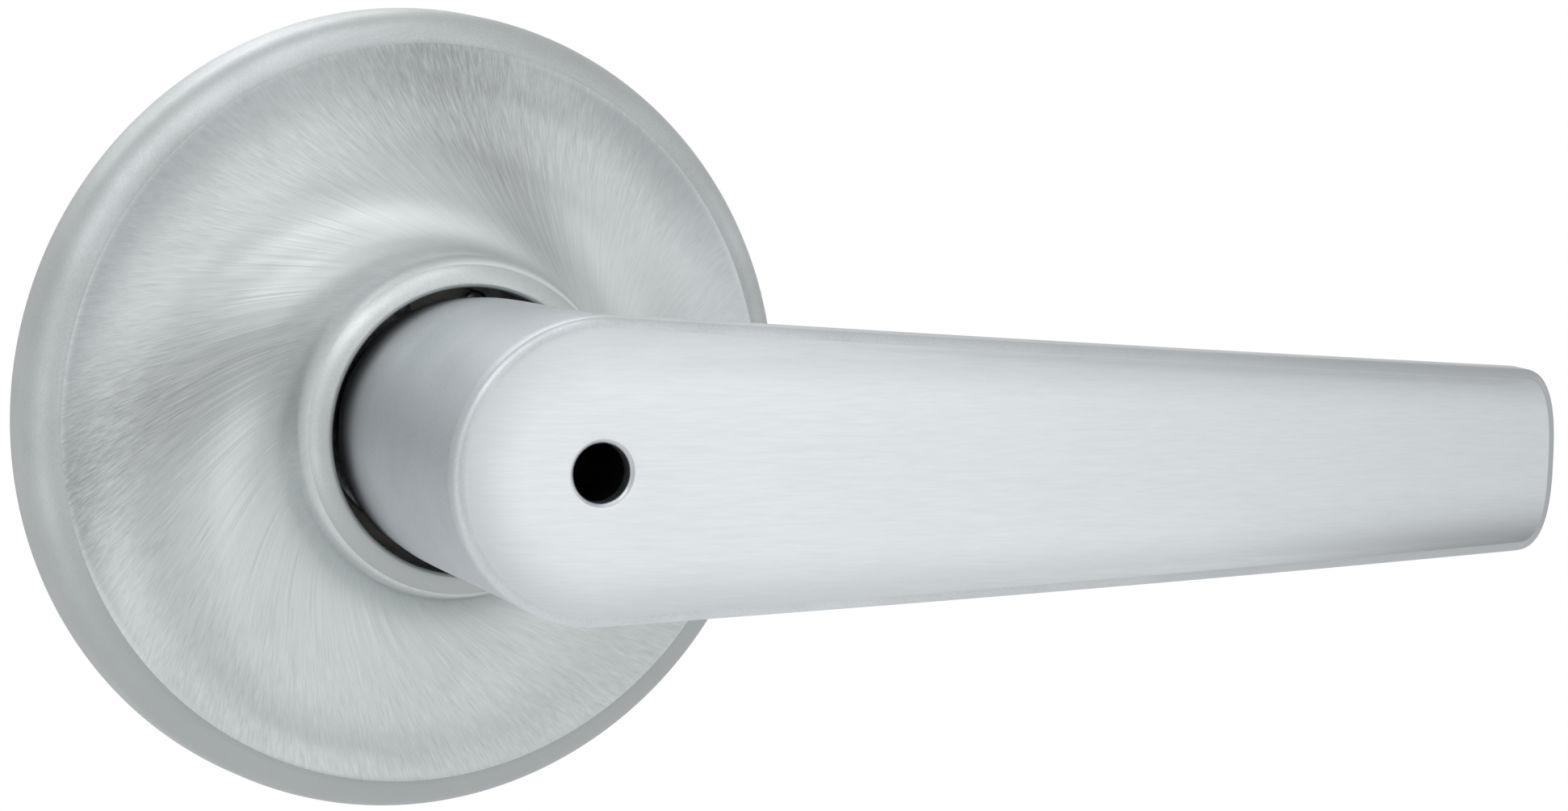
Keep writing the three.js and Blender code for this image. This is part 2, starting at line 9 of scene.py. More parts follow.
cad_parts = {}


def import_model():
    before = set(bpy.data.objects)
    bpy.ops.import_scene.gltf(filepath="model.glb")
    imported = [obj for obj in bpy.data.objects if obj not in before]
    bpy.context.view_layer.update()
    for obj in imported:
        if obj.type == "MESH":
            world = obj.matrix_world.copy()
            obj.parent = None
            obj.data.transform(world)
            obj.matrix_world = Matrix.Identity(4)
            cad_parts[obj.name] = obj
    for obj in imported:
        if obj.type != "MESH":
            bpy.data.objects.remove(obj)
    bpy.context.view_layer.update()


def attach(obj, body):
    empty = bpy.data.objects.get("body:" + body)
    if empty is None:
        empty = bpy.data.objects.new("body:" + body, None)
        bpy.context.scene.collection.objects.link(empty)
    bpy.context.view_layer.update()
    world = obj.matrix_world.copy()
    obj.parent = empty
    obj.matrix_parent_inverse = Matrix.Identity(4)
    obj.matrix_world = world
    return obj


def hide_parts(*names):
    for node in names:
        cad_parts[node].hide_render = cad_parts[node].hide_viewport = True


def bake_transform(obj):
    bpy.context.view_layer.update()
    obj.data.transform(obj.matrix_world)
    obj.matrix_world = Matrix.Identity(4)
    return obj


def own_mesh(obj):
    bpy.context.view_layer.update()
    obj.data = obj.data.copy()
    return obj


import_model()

# Door lever handle. Lengths below are millimetres, in the row frame: the lever turns about the Y axis, the
# door's face is y = 0, and "height" means distance from it, towards -Y.

MM = 0.001

# ---- dimensions -------------------------------------------------------------

# the rose
ROSE_R = 33.5
ROSE_WALL = 1.0
ROLL_AT = (30.6, 2.75)             # the rolled rim is part of an ellipse round this radius and height
ROLL_SIZE = (2.9, 3.45)            # its half axes
ROLL_SWEEP = 80                    # degrees of it, from its outermost point
COLLAR_H = 19.0
COLLAR_HOLE_R = 11.8
LIP_R = 1.17
LIP_TOP_R = 12.2                   # where the shoulder ends, and the rounding inside it
LIP_ROUND = 0.4

# the lever
FACE_H = 49.0
HUB_FACE_R = 12.45
EDGE_R = 0.8
TIP_X = 87.27
TIP_HALF = 7.4                     # half the blade's height at the tip
TIP_SPAN = 3.5                     # the length of the tip's superellipse, and its power
TIP_POWER = 2.7
BEND_START = 14.0                  # from here the blade curves back towards the door
BEND_R = 620.0
BUFFED = 0.2                       # how far the face falls away next to its edge, and over what breadth
BUFFED_SPAN = 3.2
BLADE_T = 4.2                      # thickness at the edge, and how much more the crown and the root have
BLADE_CROWN = 1.3
ROOT_T = 5.0
ROOT_SPAN = 7.0                    # the root thins out over this
TIP_BLEND = 9.0                    # the crown rises over this from the tip's edge
HUB_WALL = 6.0                     # the side wall at the hub, deeper than along the blade
BACK_EDGE_R = 0.8
FILLET_R = 2.2                     # between the blade's back and the neck
LEVER_BORE_R = 8.7
LEVER_BORE_END = 36.5
RELEASE_HOLE_R = 2.4
SET_SCREW_H = 31.5
NECK = [(17.0, 10.9), (18.5, 11.0), (20.5, 11.2), (22.6, 11.4), (25.7, 11.55), (31.2, 11.74), (38.0, 12.0),
        (43.0, 12.2), (48.2, 12.45)]  # height and radius
NECK_END, NECK_JOIN_R = NECK[0][0], NECK[-2][1]

# the hardware
TUBE_R = 8.5
TUBE_BORE = 7.3
POST_X = 19.0
POST_R = 4.0
EAR_AT = 20.5                      # the cage's four screwed ears
EAR_ANGLES = (45, 135, 225, 315)
EAR_HOLE_R = 1.6
HOUSING_R = 16.2
HOUSING_IN = 15.0
PIN_H = 6.0
PIN_HOLE_R = 1.1
BAR_SIDE = 7.14
BAR_END = -50.0

# ---- mesh helpers -----------------------------------------------------------


def add_piece(name, verts, faces, slots=None):
    mesh = bpy.data.meshes.new(name)
    mesh.from_pydata((np.asarray(verts, float) * MM).tolist(), [], faces)
    if slots is not None:
        mesh.polygons.foreach_set("material_index", slots)
    obj = bpy.data.objects.new(name, mesh)
    bpy.context.scene.collection.objects.link(obj)
    face_out(obj)
    return obj


def face_out(obj):
    bm = bmesh.new()
    bm.from_mesh(obj.data)
    bmesh.ops.remove_doubles(bm, verts=bm.verts, dist=1e-8)
    bmesh.ops.recalc_face_normals(bm, faces=bm.faces)
    bm.to_mesh(obj.data)
    bm.free()


def smooth(obj, angle):
    obj.data.shade_smooth()
    obj.data.set_sharp_from_angle(angle=math.radians(angle))
    return obj


def skin(name, rings, wrap=False, slots=None):
    """Rings of points joined into one surface. A ring of one point is a pole. slots has one per band."""
    rings = [np.asarray(r, float).reshape(-1, 3) for r in rings]
    starts = np.cumsum([0] + [len(r) for r in rings])
    faces, face_slots = [], []
    bands = len(rings) if wrap else len(rings) - 1
    for k in range(bands):
        a, b = rings[k], rings[(k + 1) % len(rings)]
        sa, sb = int(starts[k]), int(starts[(k + 1) % len(rings)])
        count = max(len(a), len(b))
        for i in range(count):
            j = (i + 1) % count
            if len(a) == 1:
                faces.append((sa, sb + i, sb + j))
            elif len(b) == 1:
                faces.append((sa + i, sa + j, sb))
            else:
                faces.append((sa + i, sa + j, sb + j, sb + i))
            face_slots.append(0 if slots is None else slots[k])
    return add_piece(name, np.concatenate(rings), faces, face_slots)


def circle(r, segments, x=0.0, z=0.0):
    a = np.arange(segments) * 2 * math.pi / segments
    return np.stack([x + r * np.cos(a), z + r * np.sin(a)], 1)


def at_height(flat_points, h):
    return np.stack([flat_points[:, 0], -h, flat_points[:, 1]], 1)


def ring(r, h, segments):
    """A circle of radius r round the axis at height h, or a single point on the axis."""
    if r == 0:
        return [(0, -h, 0)]
    return at_height(circle(r, segments), np.full(segments, h))


def lathe(name, profile, segments=96, slots=None):
    """(radius, height) pairs turned about the axis. The profile starts and ends on the axis, or is closed."""
    wrap = profile[0][0] != 0
    return skin(name, [ring(r, h, segments) for r, h in profile], wrap, slots)


def arc(centre, r, start, end, steps):
    """Points of a circle's arc, angles in degrees from the first axis to the second."""
    a = np.radians(np.linspace(start, end, steps + 1))
    return [(centre[0] + r * math.cos(t), centre[1] + r * math.sin(t)) for t in a]


def apply_modifiers(obj):
    graph = bpy.context.evaluated_depsgraph_get()
    mesh = bpy.data.meshes.new_from_object(obj.evaluated_get(graph))
    obj.modifiers.clear()
    obj.data = mesh
    return obj


def boolean(obj, operation, *tools):
    for tool in tools:
        change = obj.modifiers.new(operation, "BOOLEAN")
        change.operation = operation
        change.solver = "EXACT"
        change.object = tool
    apply_modifiers(obj)
    for tool in tools:
        bpy.data.objects.remove(tool)
    return obj


# ---- shapes -----------------------------------------------------------------


def eased(profile, r, closed=True):
    """The same outline with its corners cut back by r and rounded."""
    points = [np.asarray(p, float) for p in profile]
    made = []
    for i, here in enumerate(points):
        if not closed and i in (0, len(points) - 1):
            made.append(here)
            continue
        back, ahead = points[i - 1] - here, points[(i + 1) % len(points)] - here
        reach_back, reach_ahead = np.linalg.norm(back), np.linalg.norm(ahead)
        cosine = float(back @ ahead) / (reach_back * reach_ahead)
        e = min(r, 0.4 * reach_back, 0.4 * reach_ahead)
        if cosine < -0.985 or e < 0.01:
            made.append(here)
            continue
        first, last = here + back / reach_back * e, here + ahead / reach_ahead * e
        made += [first, 0.25 * first + 0.5 * here + 0.25 * last, last]
    return [tuple(p) for p in made]


def turned(name, profile, segments=96, r=0.12):
    return lathe(name, eased(profile, r, profile[0][0] != 0), segments)


def sector(inner, outer, start, end, steps):
    """A piece of a ring between two angles in degrees."""
    return np.array(arc((0, 0), outer, start, end, steps) + arc((0, 0), inner, end, start, steps))


def box_outline(x0, x1, z0, z1):
    return np.array([(x0, z0), (x1, z0), (x1, z1), (x0, z1)], float)


def square(side):
    return box_outline(-side / 2, side / 2, -side / 2, side / 2)


def inset(points, distance):
    """A closed outline moved to its left."""
    ahead = np.roll(points, -1, 0) - points
    ahead /= np.linalg.norm(ahead, axis=1)[:, None]
    behind = np.roll(ahead, 1, 0)
    left = np.stack([-ahead[:, 1] - behind[:, 1], ahead[:, 0] + behind[:, 0]], 1)
    left /= np.linalg.norm(left, axis=1)[:, None]
    share = np.maximum(0.4, left[:, 1] * behind[:, 0] - left[:, 0] * behind[:, 1])
    return points + left * (distance / share)[:, None]


def signed_area(points):
    ahead = np.roll(points, -1, 0)
    return float(np.sum(points[:, 0] * ahead[:, 1] - ahead[:, 0] * points[:, 1])) / 2


def flat(name, outer, holes, low, high, edge=0.12):
    """A flat plate with rounded edges between two heights. Its outline and holes lie in the X-Z plane."""
    # how far inside the outline each ring runs, and its height
    levels = [(edge, low), (0.3 * edge, low + 0.3 * edge), (0, low + edge),
              (0, high - edge), (0.3 * edge, high - 0.3 * edge), (edge, high)]
    loops = []
    for i, points in enumerate([outer, *holes]):
        points = np.asarray(points, float)
        right_way = (signed_area(points) > 0) == (i == 0)
        loops.append(points if right_way else points[::-1])
    verts, faces, low_ids, high_ids = [], [], [], []
    for loop in loops:
        n, base = len(loop), len(verts)
        for distance, h in levels:
            verts.extend(at_height(inset(loop, distance), np.full(n, h)))
        for k in range(len(levels) - 1):
            this, above = base + k * n, base + (k + 1) * n
            for i in range(n):
                j = (i + 1) % n
                faces.append((this + i, this + j, above + j, above + i))
        low_ids += range(base, base + n)
        high_ids += range(base + (len(levels) - 1) * n, base + len(levels) * n)
    caps = tessellate_polygon([[Vector((x, z, 0)) for x, z in inset(loop, edge)] for loop in loops])
    for triangle in caps:
        faces.append(tuple(low_ids[i] for i in triangle))
        faces.append(tuple(high_ids[i] for i in triangle))
    return add_piece(name, verts, faces)


def rotated(obj, degrees, axis, move=(0, 0, 0)):
    turn = Matrix.Rotation(math.radians(degrees), 4, axis)
    obj.data.transform(Matrix.Translation(Vector(move) * MM) @ turn)
    return obj


def swung(obj, angle):
    """Turned about the lever's axis from the +X side, so that it lies at an angle towards +Z."""
    return rotated(obj, -angle, "Y")


def radial(name, profile, height, angle, segments=48, r=0.1):
    """A turned piece whose axis points away from the lever's. Its heights are distances from the lever's."""
    obj = turned(name, profile, segments, r)
    return swung(rotated(obj, 90, "Z", (0, -height, 0)), angle)


def rod(r, inner, outer):
    """The profile of a plain rod between two heights."""
    return [(0, inner), (r, inner), (r, outer), (0, outer)]


def threaded(crest, root, h, pitch, segments):
    """A ring whose radius follows a screw thread at height h."""
    a = np.arange(segments) / segments
    wave = np.abs(2 * ((h / pitch + a) % 1) - 1)
    r = root + (crest - root) * wave
    return np.stack([r * np.cos(a * 2 * math.pi), np.full(segments, -h), r * np.sin(a * 2 * math.pi)], 1)


def rounded_path(points, steps):
    """A smooth line through every point (Catmull-Rom)."""
    p = np.asarray(points, float)
    padded = np.concatenate([[2 * p[0] - p[1]], p, [2 * p[-1] - p[-2]]])
    made = []
    for i in range(len(p) - 1):
        a, b, c, d = padded[i:i + 4]
        for t in np.arange(steps) / steps:
            made.append(0.5 * (2 * b + (c - a) * t + (2 * a - 5 * b + 4 * c - d) * t ** 2
                               + (3 * b - a - 3 * c + d) * t ** 3))
    return np.array(made + [p[-1]])


def wire(name, points, r, sides):
    """Round wire along a line of points, with its ends eased."""
    along = np.gradient(points, axis=0)
    along /= np.linalg.norm(along, axis=1)[:, None]
    side = np.cross(along[0], (0.0, 1.0, 0.0))
    if np.linalg.norm(side) < 0.1:
        side = np.cross(along[0], (1.0, 0.0, 0.0))
    a = np.arange(sides) * 2 * math.pi / sides
    rings = [[points[0]]]
    last = len(points) - 1
    for i, (here, ahead) in enumerate(zip(points, along)):
        side = side - ahead * (side @ ahead)
        side /= np.linalg.norm(side)
        other = np.cross(ahead, side)
        around = np.outer(np.cos(a), side) + np.outer(np.sin(a), other)
        if i == 0:
            rings.append(here + around * r * 0.8)
            rings.append(here + ahead * r * 0.2 + around * r)
        elif i == last:
            rings.append(here - ahead * r * 0.2 + around * r)
            rings.append(here + around * r * 0.8)
        else:
            rings.append(here + around * r)
    rings.append([points[-1]])
    return skin(name, rings)


# ---- material helpers -------------------------------------------------------


def node(tree, kind, inputs=None, **settings):
    made = tree.nodes.new(kind)
    for key, value in settings.items():
        setattr(made, key, value)
    for key, value in (inputs or {}).items():
        if isinstance(value, bpy.types.NodeSocket):
            tree.links.new(value, made.inputs[key])
        else:
            made.inputs[key].default_value = value
    return made


def maths(tree, operation, first, second=None):
    inputs = {0: first}
    if second is not None:
        inputs[1] = second
    return node(tree, "ShaderNodeMath", inputs, operation=operation).outputs[0]


def times(tree, first, second):
    return maths(tree, "MULTIPLY", first, second)


def plus(tree, first, second):
    return maths(tree, "ADD", first, second)


def start_material(name):
    material = bpy.data.materials.new(name)
    material.use_nodes = True
    tree = material.node_tree
    shader = tree.nodes["Principled BSDF"]
    place = node(tree, "ShaderNodeTexCoord").outputs["Object"]
    return material, tree, shader, place


def split_xyz(tree, vector):
    return node(tree, "ShaderNodeSeparateXYZ", {0: vector}).outputs


def noise(tree, vector, scale, detail, roughness):
    inputs = {"Vector": vector, "Scale": scale, "Detail": detail, "Roughness": roughness}
    return node(tree, "ShaderNodeTexNoise", inputs).outputs["Fac"]


def ranged(tree, value, low, high, from_low, from_high):
    """low to high as the value goes from from_low to from_high, and no further."""
    inputs = {"Value": value, "From Min": from_low, "From Max": from_high, "To Min": low, "To Max": high}
    return node(tree, "ShaderNodeMapRange", inputs).outputs[0]


def smooth_ramp(tree, value, start, end, height):
    """0 to height as the value goes from start to end, easing in and out."""
    inputs = {"Value": value, "From Min": start, "From Max": end, "To Max": height}
    return node(tree, "ShaderNodeMapRange", inputs, interpolation_type="SMOOTHSTEP").outputs[0]


def weighed(tree, first, second, share):
    """A mix of two values, in which the first has this share."""
    return plus(tree, times(tree, first, share), times(tree, second, 1 - share))


def sum_of_squares(tree, first, second):
    return plus(tree, times(tree, first, first), times(tree, second, second))


def tinted(tree, fac, dark, light):
    """A colour between two. Each is a colour or a socket."""
    first, last = (c if isinstance(c, bpy.types.NodeSocket) else (*c, 1) for c in (dark, light))
    return node(tree, "ShaderNodeMix", {0: fac, 6: first, 7: last}, data_type="RGBA").outputs[2]


def scaled(colour, tone):
    return tuple(c * t for c, t in zip(colour, tone))


def specks(tree, place, scale, size):
    """Sparse little ragged marks, in one cell of five: 1 on a mark, 0 elsewhere."""
    empty = 0.8
    cells = node(tree, "ShaderNodeTexVoronoi", {"Vector": place, "Scale": scale})
    chosen = maths(tree, "GREATER_THAN", split_xyz(tree, cells.outputs["Color"])[0], empty)
    frayed = times(tree, noise(tree, place, scale * 9, 2.0, 0.6), size)
    ragged = plus(tree, cells.outputs["Distance"], frayed)
    return times(tree, chosen, ranged(tree, ragged, 1.0, 0.0, size * 0.6, size * 1.3))


def stretched(tree, place, scale):
    return node(tree, "ShaderNodeMapping", {"Vector": place, "Scale": scale}).outputs[0]


def polar(tree, place, lines, along):
    """Coordinates that are fine across the brush lines of the dish and slow along them."""
    x, y, z = split_xyz(tree, place)
    square_r = sum_of_squares(tree, x, z)
    r = maths(tree, "SQRT", square_r)
    angle = maths(tree, "ARCTAN2", z, x)
    line = plus(tree, angle, maths(tree, "DIVIDE", SWIRL / 2, square_r))
    cos = times(tree, maths(tree, "COSINE", line), lines)
    sin = times(tree, maths(tree, "SINE", line), lines)
    reach = times(tree, maths(tree, "SUBTRACT", r, y), along)
    return node(tree, "ShaderNodeCombineXYZ", {0: cos, 1: reach, 2: sin}).outputs[0]


def across_swirl(tree, place):
    """The direction across the dish's brush lines, which lean by SWIRL over the radius squared."""
    x, _, z = split_xyz(tree, place)
    lean = maths(tree, "DIVIDE", SWIRL, sum_of_squares(tree, x, z))
    along_x = maths(tree, "SUBTRACT", times(tree, z, -1.0), times(tree, x, lean))
    along_z = maths(tree, "SUBTRACT", x, times(tree, z, lean))
    vector = node(tree, "ShaderNodeCombineXYZ", {0: along_x, 1: 0.0, 2: along_z}).outputs[0]
    unit = node(tree, "ShaderNodeVectorMath", {0: vector}, operation="NORMALIZE").outputs[0]
    return node(tree, "ShaderNodeVectorTransform", {0: unit}, vector_type="VECTOR",
                convert_from="OBJECT", convert_to="WORLD").outputs[0]


def finish_material(tree, shader, colour, rough, height, strength, distance, tangent=None):
    bump = node(tree, "ShaderNodeBump", {"Height": height, "Strength": strength, "Distance": distance})
    tree.links.new(colour, shader.inputs["Base Color"])
    tree.links.new(rough, shader.inputs["Roughness"])
    tree.links.new(bump.outputs[0], shader.inputs["Normal"])
    if isinstance(tangent, bpy.types.NodeSocket):
        tree.links.new(tangent, shader.inputs["Tangent"])
    elif tangent:
        made = node(tree, "ShaderNodeTangent", direction_type="RADIAL", axis=tangent)
        tree.links.new(made.outputs[0], shader.inputs["Tangent"])


# ---- materials --------------------------------------------------------------

# Lengths in materials are metres.

CHROME_DARK = (0.625, 0.66, 0.66)
CHROME_LIGHT = (0.735, 0.775, 0.778)
# the blade's face is a lighter copy of the chrome: painted light
BLADE_PAINTED_LIGHT = (1.19, 1.19, 1.215)
# colour of the dish's scuff marks and of its painted dark reflection bands
DISH_MARKS_AND_DARK_REFLECTION = (0.2, 0.215, 0.21)
# colour of the blade's scuff marks and of the painted shade along its edges and tip
BLADE_MARKS_AND_EDGE_SHADE = (0.3, 0.31, 0.32)
SWIRL = 3.4e-4                     # square metres: how far the dish's brush lines lean from the radius
# the dish's two painted dark reflection bands
DARK_REFLECTIONS = ((211, 1.3), (109, 1.1))   # heading in degrees, and strength
REFLECTION_SHARPNESS = 26.0
REFLECTION_FADE = (0.0138, 0.0160)       # none nearer to the axis than the first, and whole from the second on
FACE_HALF = (HUB_FACE_R * MM, TIP_HALF * MM)
FACE_END = TIP_X * MM
X, Y, Z = range(3)


def painted_reflection_bands(tree, place):
    """Painted reflection: two soft dark bands that follow the direction of the dish's brush lines."""
    x, _, z = split_xyz(tree, place)
    square_r = sum_of_squares(tree, x, z)
    lean = maths(tree, "ARCTANGENT", maths(tree, "DIVIDE", SWIRL, square_r))
    heading = plus(tree, maths(tree, "ARCTAN2", z, x), lean)
    bands = None
    for degrees, strength in DARK_REFLECTIONS:
        off = maths(tree, "COSINE", maths(tree, "SUBTRACT", heading, math.radians(degrees)))
        power = times(tree, maths(tree, "SUBTRACT", off, 1.0), REFLECTION_SHARPNESS)
        band = times(tree, maths(tree, "EXPONENT", power), strength)
        bands = band if bands is None else plus(tree, bands, band)
    inward = ranged(tree, maths(tree, "SQRT", square_r), 0.0, 1.0, *REFLECTION_FADE)
    return times(tree, bands, inward)


def satin_dish():
    """Satin chrome brushed from the middle outwards with a swirl."""
    material, tree, shader, place = start_material("satin_chrome_dish")
    shader.inputs["Metallic"].default_value = 1.0
    shader.inputs["Anisotropic"].default_value = 1.0
    fine = noise(tree, polar(tree, place, 300, 900), 1.0, 3.0, 0.6)
    coarse = noise(tree, polar(tree, place, 90, 380), 1.0, 2.0, 0.5)
    patches = noise(tree, place, 60.0, 3.0, 0.55)
    lines = weighed(tree, fine, coarse, 0.72)
    shade = weighed(tree, lines, patches, 0.75)
    colour = tinted(tree, ranged(tree, shade, 0, 1, 0.34, 0.66), CHROME_DARK, CHROME_LIGHT)
    # painted reflection: two dark bands, stronger on the darker brush lines, darken the colour along with the
    # scuff marks
    dark_reflection = times(tree, painted_reflection_bands(tree, place), ranged(tree, lines, 0.44, 0.18, 0.35, 0.65))
    marks = times(tree, specks(tree, place, 130.0, 0.07), 0.35)
    colour = tinted(tree, plus(tree, dark_reflection, marks), colour, DISH_MARKS_AND_DARK_REFLECTION)
    rough = ranged(tree, shade, 0.42, 0.30, 0.35, 0.65)
    finish_material(tree, shader, colour, rough, lines, 0.4, 0.00003, across_swirl(tree, place))
    return material


def satin_plain(name, tone, rough_mid, painted_shade=None):
    """Satin chrome with no direction to its grain. A painted shade (axis, from, to, tone) darkens it along an
    axis.
    """
    material, tree, shader, place = start_material(name)
    shader.inputs["Metallic"].default_value = 1.0
    fine = noise(tree, place, 5200.0, 2.0, 0.6)
    cloud = noise(tree, place, 120.0, 3.0, 0.55)
    shade = weighed(tree, fine, cloud, 0.4)
    colour = tinted(tree, ranged(tree, shade, 0, 1, 0.35, 0.65), scaled(CHROME_DARK, tone),
                    scaled(CHROME_LIGHT, tone))
    # painted shade: darker along the axis towards its second end
    if painted_shade:
        axis, start, end, darkening = painted_shade
        shade_amount = smooth_ramp(tree, split_xyz(tree, place)[axis], start, end, 1.0)
        colour = tinted(tree, shade_amount, colour, scaled(CHROME_DARK, scaled(tone, (darkening, darkening, darkening))))
    rough = ranged(tree, shade, rough_mid + 0.05, rough_mid - 0.05, 0.35, 0.65)
    finish_material(tree, shader, colour, rough, fine, 0.2, 0.00002)
    return material


def painted_edge_shade(tree, place):
    """Painted shade on the blade's face: darker at its edges and towards the tip, most at the tip's lower
    corner.
    """
    edge_shade, tip_shade, corner_shade, tip_from = 0.42, 0.16, 0.5, 0.05
    x, _, z = split_xyz(tree, place)
    half = ranged(tree, x, *FACE_HALF, 0.0, FACE_END)
    from_middle = maths(tree, "SQRT", sum_of_squares(tree, maths(tree, "MINIMUM", x, 0.0), z))
    edge = smooth_ramp(tree, maths(tree, "DIVIDE", from_middle, half), 0.5, 1.05, edge_shade)
    tip = smooth_ramp(tree, x, tip_from, FACE_END, tip_shade)
    low = smooth_ramp(tree, maths(tree, "DIVIDE", z, half), -0.2, -1.0, corner_shade)
    corner = times(tree, low, smooth_ramp(tree, x, tip_from, FACE_END, 1.0))
    return plus(tree, edge, plus(tree, tip, corner))


def satin_blade():
    """Satin chrome brushed along the blade."""
    material, tree, shader, place = start_material("satin_chrome_blade")
    shader.inputs["Metallic"].default_value = 1.0
    shader.inputs["Anisotropic"].default_value = 0.7
    fine = noise(tree, stretched(tree, place, (380, 2600, 6400)), 1.0, 2.0, 0.6)
    coarse = noise(tree, stretched(tree, place, (140, 900, 2200)), 1.0, 2.0, 0.5)
    cloud = noise(tree, stretched(tree, place, (30, 60, 60)), 1.0, 2.0, 0.5)
    lines = weighed(tree, fine, coarse, 0.7)
    shade = weighed(tree, lines, cloud, 0.7)
    # the face's lighter tone is painted light
    colour = tinted(tree, ranged(tree, shade, 0, 1, 0.2, 0.8), scaled(CHROME_DARK, BLADE_PAINTED_LIGHT),
                    scaled(CHROME_LIGHT, BLADE_PAINTED_LIGHT))
    marks = times(tree, specks(tree, place, 110.0, 0.035), 0.3)
    # scuff marks, plus painted shade at the face's edges, towards the tip and at the tip's lower corner
    darkening = plus(tree, marks, painted_edge_shade(tree, place))
    colour = tinted(tree, darkening, colour, BLADE_MARKS_AND_EDGE_SHADE)
    rough = ranged(tree, shade, 0.36, 0.30, 0.3, 0.7)
    finish_material(tree, shader, colour, rough, lines, 0.25, 0.00002, "X")
    return material


DISH = satin_dish()
# the rim's darker tone and its darkening towards the bottom are painted shade
RIM = satin_plain("satin_chrome_rim", (0.8, 0.8, 0.81), 0.5, (Z, 0.005, -0.025, 0.86))
# the neck's darker tone and its darkening where it goes into the collar, towards the door, are painted shade
NECK_SATIN_AND_SHADE = satin_plain("satin_chrome_neck", (0.85, 0.85, 0.89), 0.36, (Y, -0.028, -0.020, 0.74))
# the lip's darker tone and its darkening towards the bottom are painted shade
LIP = satin_plain("satin_chrome_lip", (0.89, 0.89, 0.89), 0.42, (Z, 0.004, -0.012, 0.74))
# the blade's rounded edge: its darker tone and its darkening towards the tip are painted shade
EDGE = satin_plain("satin_chrome_edge", (0.9, 0.9, 0.93), 0.44, (X, 0.02, 0.085, 0.84))
# near black for the rose's inside and the lever's bores: painted shade
INTERIOR_SHADE = satin_plain("interior_painted_shade", (0.025, 0.025, 0.025), 0.6)
BLADE = satin_blade()

# ---- hardware materials -----------------------------------------------------


def metal(name, dark, light, rough, grain, cloud, depth, metallic):
    """A fine grain and clouds in colour and roughness, and grain and pits in the bump."""
    material, tree, shader, place = start_material(name)
    shader.inputs["Metallic"].default_value = metallic
    grains = noise(tree, place, grain, 3.0, 0.6)
    clouds = noise(tree, place, cloud, 3.0, 0.6)
    cells = node(tree, "ShaderNodeTexVoronoi", {"Vector": place, "Scale": grain * 0.3}).outputs["Distance"]
    shade = weighed(tree, grains, clouds, 0.45)
    colour = tinted(tree, ranged(tree, shade, 0, 1, 0.35, 0.65), dark, light)
    height = plus(tree, grains, times(tree, cells, 0.35))
    finish_material(tree, shader, colour, ranged(tree, shade, rough + 0.1, rough - 0.08, 0.35, 0.65),
                    height, 0.4, depth)
    return material


# name, darker and lighter colour, roughness, scales of grain and clouds, bump in metres, metallic
FINISHES = [
    ("zinc_plated_steel", (0.46, 0.47, 0.48), (0.68, 0.69, 0.68), 0.38, 1500, 90, 0.00003, 1.0),
    ("zinc_casting", (0.34, 0.35, 0.36), (0.5, 0.51, 0.52), 0.52, 1100, 120, 0.00008, 1.0),
    ("spring_steel", (0.2, 0.205, 0.22), (0.42, 0.43, 0.45), 0.34, 2200, 200, 0.00002, 1.0),
    ("black_oxide", (0.012, 0.012, 0.014), (0.05, 0.05, 0.055), 0.42, 1800, 200, 0.00002, 0.7),
    ("acetal", (0.72, 0.7, 0.64), (0.86, 0.84, 0.78), 0.48, 1300, 140, 0.00002, 0.0),
]
MATERIALS = {finish[0]: metal(*finish) for finish in FINISHES}


def stand_in(obj, replaced, body):
    """Hides the CAD node the piece stands for, and attaches the piece to the body it moves with, if one is
    given.
    """
    if body:
        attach(obj, body)
    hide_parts(replaced)
    return obj


def fit(obj, replaced, body, slot, angle=38):
    """Gives a piece of the hardware its material and its place."""
    obj.data.materials.clear()
    obj.data.materials.append(MATERIALS[slot])
    return stand_in(smooth(obj, angle), replaced, body)


# ---- rose -------------------------------------------------------------------


def bezier(points, steps):
    p = np.array(points, float)
    t = np.linspace(0, 1, steps + 1)[:, None]
    return ((1 - t) ** 3 * p[0] + 3 * t * (1 - t) ** 2 * p[1] + 3 * t ** 2 * (1 - t) * p[2] + t ** 3 * p[3])


def rolled_rim(depth, steps):
    """The rolled rim's profile from outside to inside, or a line that runs at a depth below it."""
    made = []
    for i in range(steps + 1):
        a = math.radians(ROLL_SWEEP * i / steps)
        made.append((ROLL_AT[0] + (ROLL_SIZE[0] - depth) * math.cos(a),
                     ROLL_AT[1] + (ROLL_SIZE[1] - depth) * math.sin(a)))
    return made


